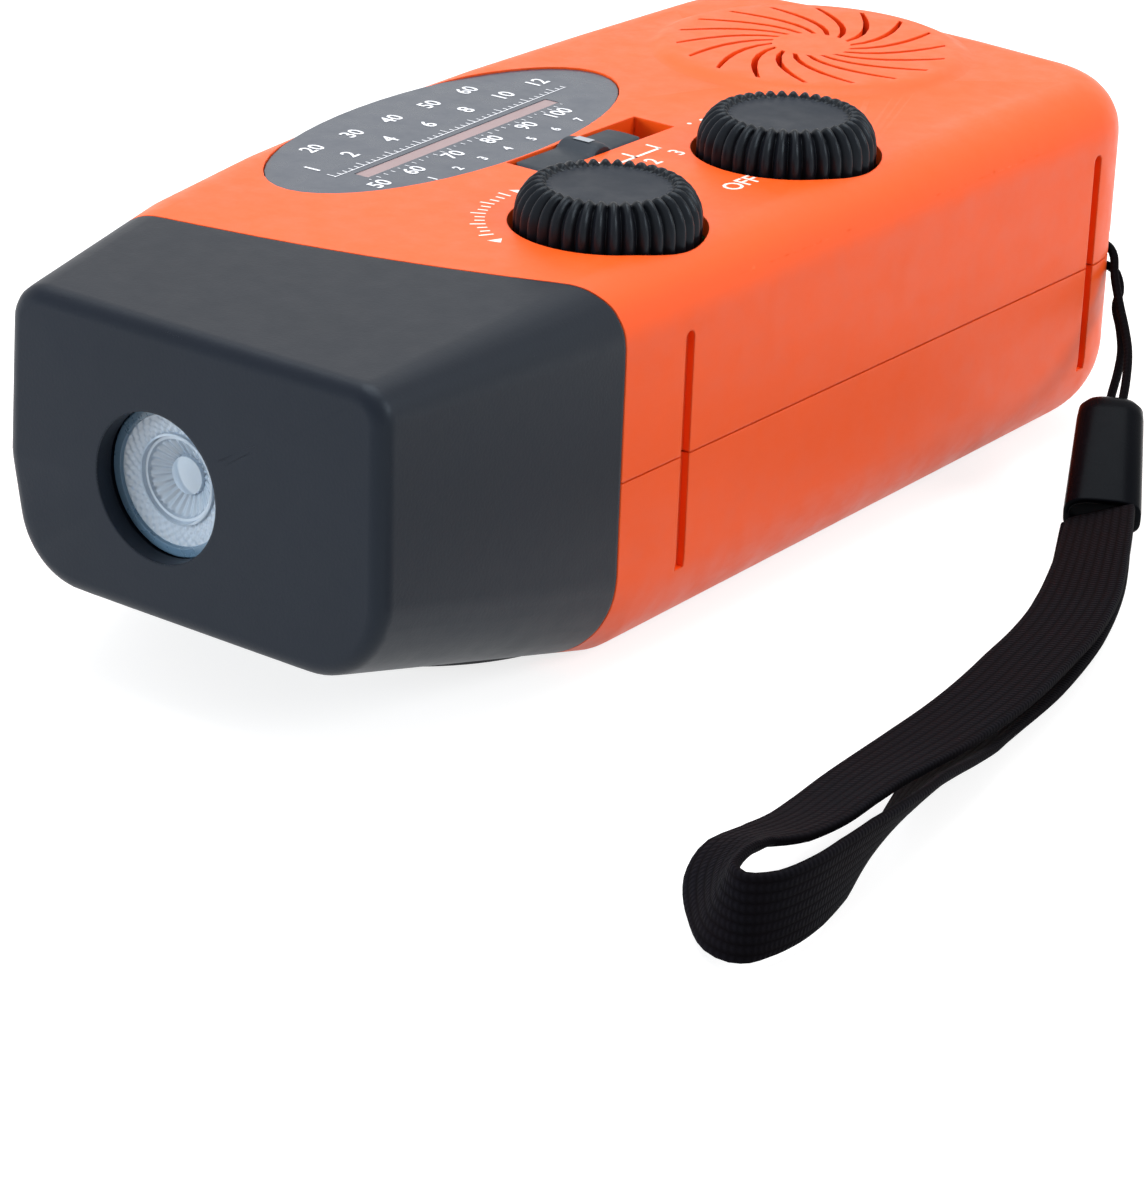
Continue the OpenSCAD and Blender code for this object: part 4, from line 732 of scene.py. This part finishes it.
def print_case():
    ink = Print(41.02)
    # turn marks round the tuning knob
    cx, cy, r = 17.2, -18.5, 12.9
    for k in range(13):
        a = math.radians(180 + 5 * k)
        out = 1.1 if k % 3 == 0 else 0.55
        ink.bar(cx + (r - 0.5) * math.cos(a), cy + (r - 0.5) * math.sin(a),
                cx + (r + out) * math.cos(a), cy + (r + out) * math.sin(a), 0.3)
    for a0, s in ((174, -1), (247, 1)):
        a = math.radians(a0)
        tip = math.radians(a0 + s * 5)
        ink.quad([(cx + (r - 0.7) * math.cos(a), cy + (r - 0.7) * math.sin(a)),
                  (cx + (r + 1) * math.cos(a), cy + (r + 1) * math.sin(a)),
                  (cx + (r + 0.1) * math.cos(tip), cy + (r + 0.1) * math.sin(tip))])
    # growing dots and OFF by the volume knob
    for k, d in enumerate((0.28, 0.36, 0.45, 0.55)):
        a = math.radians(177 - 9 * k)
        ink.dot(16.6 + 13.2 * math.cos(a), 14 + 13.2 * math.sin(a), d)
    ink.text("OFF", 19.7, 1.4, 3.0, 0, 0.05)
    # band positions by the slider
    ink.bar(6.3, -3.3, 6.3, 5.3, 0.4)
    for y in (-3.3, 1.0, 5.3):
        ink.bar(4.5, y, 6.5, y, 0.4)
    for word, y in (("1", -3.0), ("2", 1.1), ("3", 5.4)):
        ink.text(word, 8.6, y, 2.7, 0, 0.05)
    ink.done("panel_marks", M["print_case"])


# ---- band slider ----------------------------------------------------------------------------
def make_slider():
    lo, hi = (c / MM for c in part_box("band_slider"))
    cx, cy = (lo.x + hi.x) / 2, (lo.y + hi.y) / 2
    hw, hl = (hi.x - lo.x) / 2, (hi.y - lo.y) / 2
    top, ridge = 41.0, cy + 0.9

    def height(x, y):
        crown = 0.12 * (1 - (x / hw) ** 2)
        edge = max(0.0, (abs(x) - hw + 0.5) / 0.5) ** 2 * 0.25
        end = max(0.0, (abs(y - cy) - hl + 0.7) / 0.7) ** 2 * 0.3
        d = abs(y - ridge)
        bump = 0.85 * max(0.0, 1 - max(0.0, d - 0.75) / 1.1) ** 1.3
        return min(hi.z, top - 0.1 + crown + bump - edge - end)

    def outline_x(y):
        """Half width of the slider, with rounded ends."""
        d = abs(y - cy) - (hl - 1.7)
        return hw if d <= 0 else hw - 1.7 + math.sqrt(max(0.0, 1.7 ** 2 - d * d))

    bm = bmesh.new()
    rows = []
    steps = [lo.y + (hi.y - lo.y) * (0.5 - 0.5 * math.cos(math.pi * i / 44)) for i in range(45)]
    for y in steps:
        w = max(0.6, outline_x(y))
        row = [bm.verts.new(((cx - w) * MM, y * MM, 40.1 * MM))]
        for k in range(17):
            x = w * (k / 8 - 1)
            row.append(bm.verts.new(((cx + x) * MM, y * MM, height(x, y) * MM)))
        row.append(bm.verts.new(((cx + w) * MM, y * MM, 40.1 * MM)))
        rows.append(row)
    for a, b in zip(rows, rows[1:]):
        for k in range(len(a) - 1):
            bm.faces.new((a[k], a[k + 1], b[k + 1], b[k]))
        bm.faces.new((a[-1], a[0], b[0], b[-1]))
    bm.faces.new(rows[0][::-1])
    bm.faces.new(rows[-1])
    foot = bmesh.ops.create_cube(bm, size=1)["verts"]
    bmesh.ops.scale(bm, vec=(2.4 * MM, 3 * MM, 5 * MM), verts=foot)
    bmesh.ops.translate(bm, vec=(cx * MM, cy * MM, 37.9 * MM), verts=foot)
    slider = new_object("band_thumb", bm, M["slider"], "band_body", 50)
    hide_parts("band_slider")
    bm = bmesh.new()
    bmesh.ops.create_grid(bm, x_segments=1, y_segments=1, size=0.5)
    bmesh.ops.scale(bm, vec=(1.15 * MM, 2.1 * MM, 1), verts=bm.verts)
    bmesh.ops.rotate(bm, cent=(0, 0, 0), matrix=Matrix.Rotation(math.radians(90), 3, "Z"), verts=bm.verts)
    bmesh.ops.translate(bm, vec=(cx * MM, ridge * MM, (hi.z + 0.01) * MM), verts=bm.verts)
    new_object("band_thumb_mark", bm, LIGHT_MARK, "band_body")


# ---- knobs ----------------------------------------------------------------------------------
def make_knob(node, name, body):
    """A cap with deep rounded ribs that stand a little above its matt flat top, on a plain stem."""
    lo, hi = (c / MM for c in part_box(node))
    cx, cy, top = (lo.x + hi.x) / 2, (lo.y + hi.y) / 2, hi.z
    radius, count, per = (hi.x - lo.x) / 2, 36, 10
    meridian = [(radius - 0.1, 38.2), (radius, 38.8), (radius, 41.6), (radius - 0.06, 42.4),
                (radius - 0.25, 43.2),
                (radius - 0.62, 44.0), (radius - 1.15, 44.7), (radius - 1.75, top - 0.28),
                (radius - 2.3, top - 0.05),
                (radius - 2.75, top), (radius - 3.05, top - 0.16), (radius - 3.2, top - 0.5)]
    flat = top - 0.62

    bm = bmesh.new()
    rings = []
    for k, (r, z) in enumerate(meridian):
        ring = []
        for j in range(count * per):
            a = 2 * math.pi * j / (count * per)
            crest = (0.5 + 0.5 * math.cos(count * a)) ** 0.55
            deep = 0.78 * (1 - crest) * (1.0 if 0 < k < len(meridian) - 2 else 0.75)
            rise = 0.0 if k < 5 else -(0.5 * (1 - crest)) * min(1.0, (k - 4) / 3)
            rr = r - deep * (1.0 if k < 8 else 0.25)
            height = max(z + rise, flat) if k > 8 else z + rise
            ring.append(Vector((cx + rr * math.cos(a), cy + rr * math.sin(a), height)) * MM)
        rings.append(ring)
    verts = loft(bm, rings, closed_ends=False)
    bm.faces.new(verts[0][::-1])
    inner = [bm.verts.new(Vector((cx + 5.9 * math.cos(a), cy + 5.9 * math.sin(a), flat)) * MM)
             for a in (2 * math.pi * j / (count * per) for j in range(count * per))]
    n = count * per
    top_faces = [bm.faces.new((verts[-1][j], verts[-1][(j + 1) % n], inner[(j + 1) % n],
                               inner[j])) for j in range(n)]
    top_faces.append(bm.faces.new(inner))
    stem = bmesh.ops.create_cone(bm, cap_ends=True, segments=48, radius1=3 * MM, radius2=3 * MM,
                                 depth=(38.6 - lo.z) * MM)["verts"]
    bmesh.ops.translate(bm, vec=Vector((cx, cy, (38.6 + lo.z) / 2)) * MM, verts=stem)
    # the flat top takes the lighter copy of the black: painted light on the face that looks up
    for f in top_faces:
        f.material_index = 1
    knob = new_object(name, bm, M["knob"], body, 50)
    knob.data.materials.append(M["knob_top"])
    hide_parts(node)


# ---- torch lens -----------------------------------------------------------------------------
def make_lens():
    """A clear collimator: frosted rim, pebbled ring, a step, a ribbed cone and a plain centre."""
    lo, hi = (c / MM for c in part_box("lamp_lens"))
    cx, cz, front, radius = (lo.x + hi.x) / 2, (lo.z + hi.z) / 2, lo.y, (hi.x - lo.x) / 2
    step = radius - 3.1
    profile = [(0.0, 6.0, 0), (2.6, 6.0, 0), (5.6, 2.4, 0), (6.6, 1.3, 0), (radius, 1.0, 0),
               (radius, 0.15, 0),
               (radius - 0.15, 0.0, 0), (radius - 0.95, 0.0, 0), (radius - 1.1, 0.35, 0)]
    profile += [(radius - 1.2 - 1.8 * k / 12, 0.35 + 0.5 * k / 12, 1) for k in range(13)]
    profile += [(step, 0.55, 0), (step - 0.2, 0.5, 0), (step - 0.35, 0.9, 0), (step - 0.6, 0.95, 0),
                (step - 0.75, 1.25, 0)]
    profile += [(step - 0.8 - (step - 2.8) * k / 8, 1.3 + 1.2 * k / 8, 2) for k in range(9)]
    profile += [(1.9, 2.1, 0), (1.0, 1.85, 0), (0.0, 1.8, 0)]
    n = 240
    rings = []
    for k, (r, depth, kind) in enumerate(profile):
        ring = []
        for j in range(n):
            a = 2 * math.pi * j / n
            wave = 0.0
            if kind == 1:
                wave = 0.12 * math.sin(36 * a) * math.sin(math.pi * (k - 9) / 3)
            elif kind == 2:
                wave = 0.09 * math.cos(24 * a)
            ring.append(Vector((cx + max(r, 0.01) * math.cos(a), front + depth + wave,
                                cz + max(r, 0.01) * math.sin(a))) * MM)
        rings.append(ring)
    bm = bmesh.new()
    verts = loft(bm, rings)
    rim = {v for ring in verts[4:9] for v in ring}
    for f in bm.faces:
        if all(v in rim for v in f.verts):
            f.material_index = 1
    lens = new_object("torch_lens", bm, M["lens"], "radio_body", 45)
    lens.data.materials.append(M["lens_rim"])
    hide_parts("lamp_lens")


# ---- stage ----------------------------------------------------------------------------------
def white_rays(tree):
    """1 for camera, glossy and transmission rays, to which the background is white."""
    path = tree.nodes.new("ShaderNodeLightPath")
    mirrored = add_math(tree, "MAXIMUM", path.outputs["Is Glossy Ray"], path.outputs["Is Transmission Ray"])
    return add_math(tree, "MAXIMUM", path.outputs["Is Camera Ray"], mirrored)


def make_stage():
    mat = bpy.data.materials.new("floor_white")
    mat.use_nodes = True
    tree = mat.node_tree
    tree.nodes.clear()
    out = tree.nodes.new("ShaderNodeOutputMaterial")
    diffuse = tree.nodes.new("ShaderNodeBsdfDiffuse")
    diffuse.inputs["Color"].default_value = (0.42, 0.42, 0.42, 1)
    glow = tree.nodes.new("ShaderNodeEmission")
    tree.links.new(add_math(tree, "MULTIPLY", white_rays(tree), 0.78), glow.inputs["Strength"])
    add = tree.nodes.new("ShaderNodeAddShader")
    tree.links.new(diffuse.outputs[0], add.inputs[0])
    tree.links.new(glow.outputs[0], add.inputs[1])
    tree.links.new(add.outputs[0], out.inputs[0])
    bm = bmesh.new()
    bmesh.ops.create_grid(bm, x_segments=1, y_segments=1, size=3)
    mesh = bpy.data.meshes.new("floor")
    bm.to_mesh(mesh)
    bm.free()
    mesh.materials.append(mat)
    floor = bpy.data.objects.new("floor", mesh)
    scene.collection.objects.link(floor)
    floor.location.z = -0.0001

    world = bpy.data.worlds.new("studio")
    scene.world = world
    world.use_nodes = True
    tree = world.node_tree
    tree.nodes.clear()
    out = tree.nodes.new("ShaderNodeOutputWorld")
    bg = tree.nodes.new("ShaderNodeBackground")
    bg.inputs["Color"].default_value = (1.0, 1.0, 1.0, 1)
    seen = white_rays(tree)
    # for diffuse light the studio is bright behind the radio and on its left, and dim on its right and in front
    coord = tree.nodes.new("ShaderNodeTexCoord")
    toward = tree.nodes.new("ShaderNodeVectorMath")
    toward.operation = "DOT_PRODUCT"
    toward.inputs[1].default_value = (-0.74, 0.62, 0.26)
    tree.links.new(coord.outputs["Generated"], toward.inputs[0])
    studio = add_range(tree, toward.outputs["Value"], -0.5, 0.75, 0.3, 1.15)
    rest = add_math(tree, "MULTIPLY", studio, add_math(tree, "SUBTRACT", 1.0, seen))
    tree.links.new(add_math(tree, "ADD", seen, rest), bg.inputs["Strength"])
    tree.links.new(bg.outputs[0], out.inputs[0])

    def lamp(name, at, size, power, colour=(1, 1, 1), target=(0, 0, 0.02)):
        data = bpy.data.lights.new(name, "AREA")
        data.shape = "RECTANGLE"
        data.size, data.size_y = size
        data.energy = power
        data.color = colour
        obj = bpy.data.objects.new(name, data)
        scene.collection.objects.link(obj)
        obj.location = at
        obj.rotation_mode = "QUATERNION"
        obj.rotation_quaternion = (Vector(at) - Vector(target)).to_track_quat("Z", "Y")
        return obj

    lamp("lamp_top", (-0.1, 0.1, 0.9), (0.7, 0.7), 6.5)
    # the low lamp would burn out the front face in its mirror image, as seen from the far end
    lamp("lamp_left", (-0.6, -0.8, 0.14), (0.6, 0.5), 12.0, (0.84, 0.93, 1)).visible_glossy = False
    lamp("lamp_right", (0.85, 0.2, 0.55), (0.5, 0.4), 4.2)


make_camera()
make_strap()
case_skin = Skin()
dressed("front_case", "front_shell", "radio_body", M["case"], case_skin)
dressed("back_case", "back_shell", "radio_body", M["case"], case_skin)
dressed("lamp_head", "torch_shell", "radio_body", M["head"], case_skin)
print_dial()
print_case()
make_slider()
make_knob("tuning_knob", "tuning_cap", "tuning_body")
make_knob("volume_knob", "volume_cap", "volume_body")
paint(M["dial"], "dial_window")
paint(M["strip"], "dial_strip")
make_lens()
paint(M["cup"], "lamp_cup")
paint(M["led"], "lamp_led")
paint(M["red"], "dial_pointer")
paint(M["cord"], "dial_cord")
paint(M["ivory"], "pulley_front", "pulley_rear", "pulley_side", "tuning_drum", "idler_gear", "crank_gear")
paint(M["black"], "tuning_gang", "volume_pot", "band_switch", "torch_switch", "speaker_frame", "crank_drum",
      "crank_arm", "crank_handle", "solar_frame", "torch_button")
paint(M["steel"], "generator", "generator_rotor", "idler_pin", "hinge_pin", "handle_pin", "strap_post")
paint(M["plated"], "usb_a_socket", "usb_c_socket")
paint(M["mast"], "mast_tube", "mast_middle", "mast_inner", "mast_rod", "mast_pin")
paint(M["pcb"], "main_board", "port_board")
paint(M["chip"], "board_chips")
paint(M["ferrite"], "ferrite_rod")
paint(M["copper"], "ferrite_coil")
paint(M["cell"], "battery_cell")
paint(M["magnet"], "speaker_magnet")
paint(M["paper"], "speaker_cone")
paint(M["solar"], "solar_panel")
paint(M["rubber"], "port_flap")
paint(M["screw"], "case_screw_1", "case_screw_2", "case_screw_3", "case_screw_4")
make_stage()
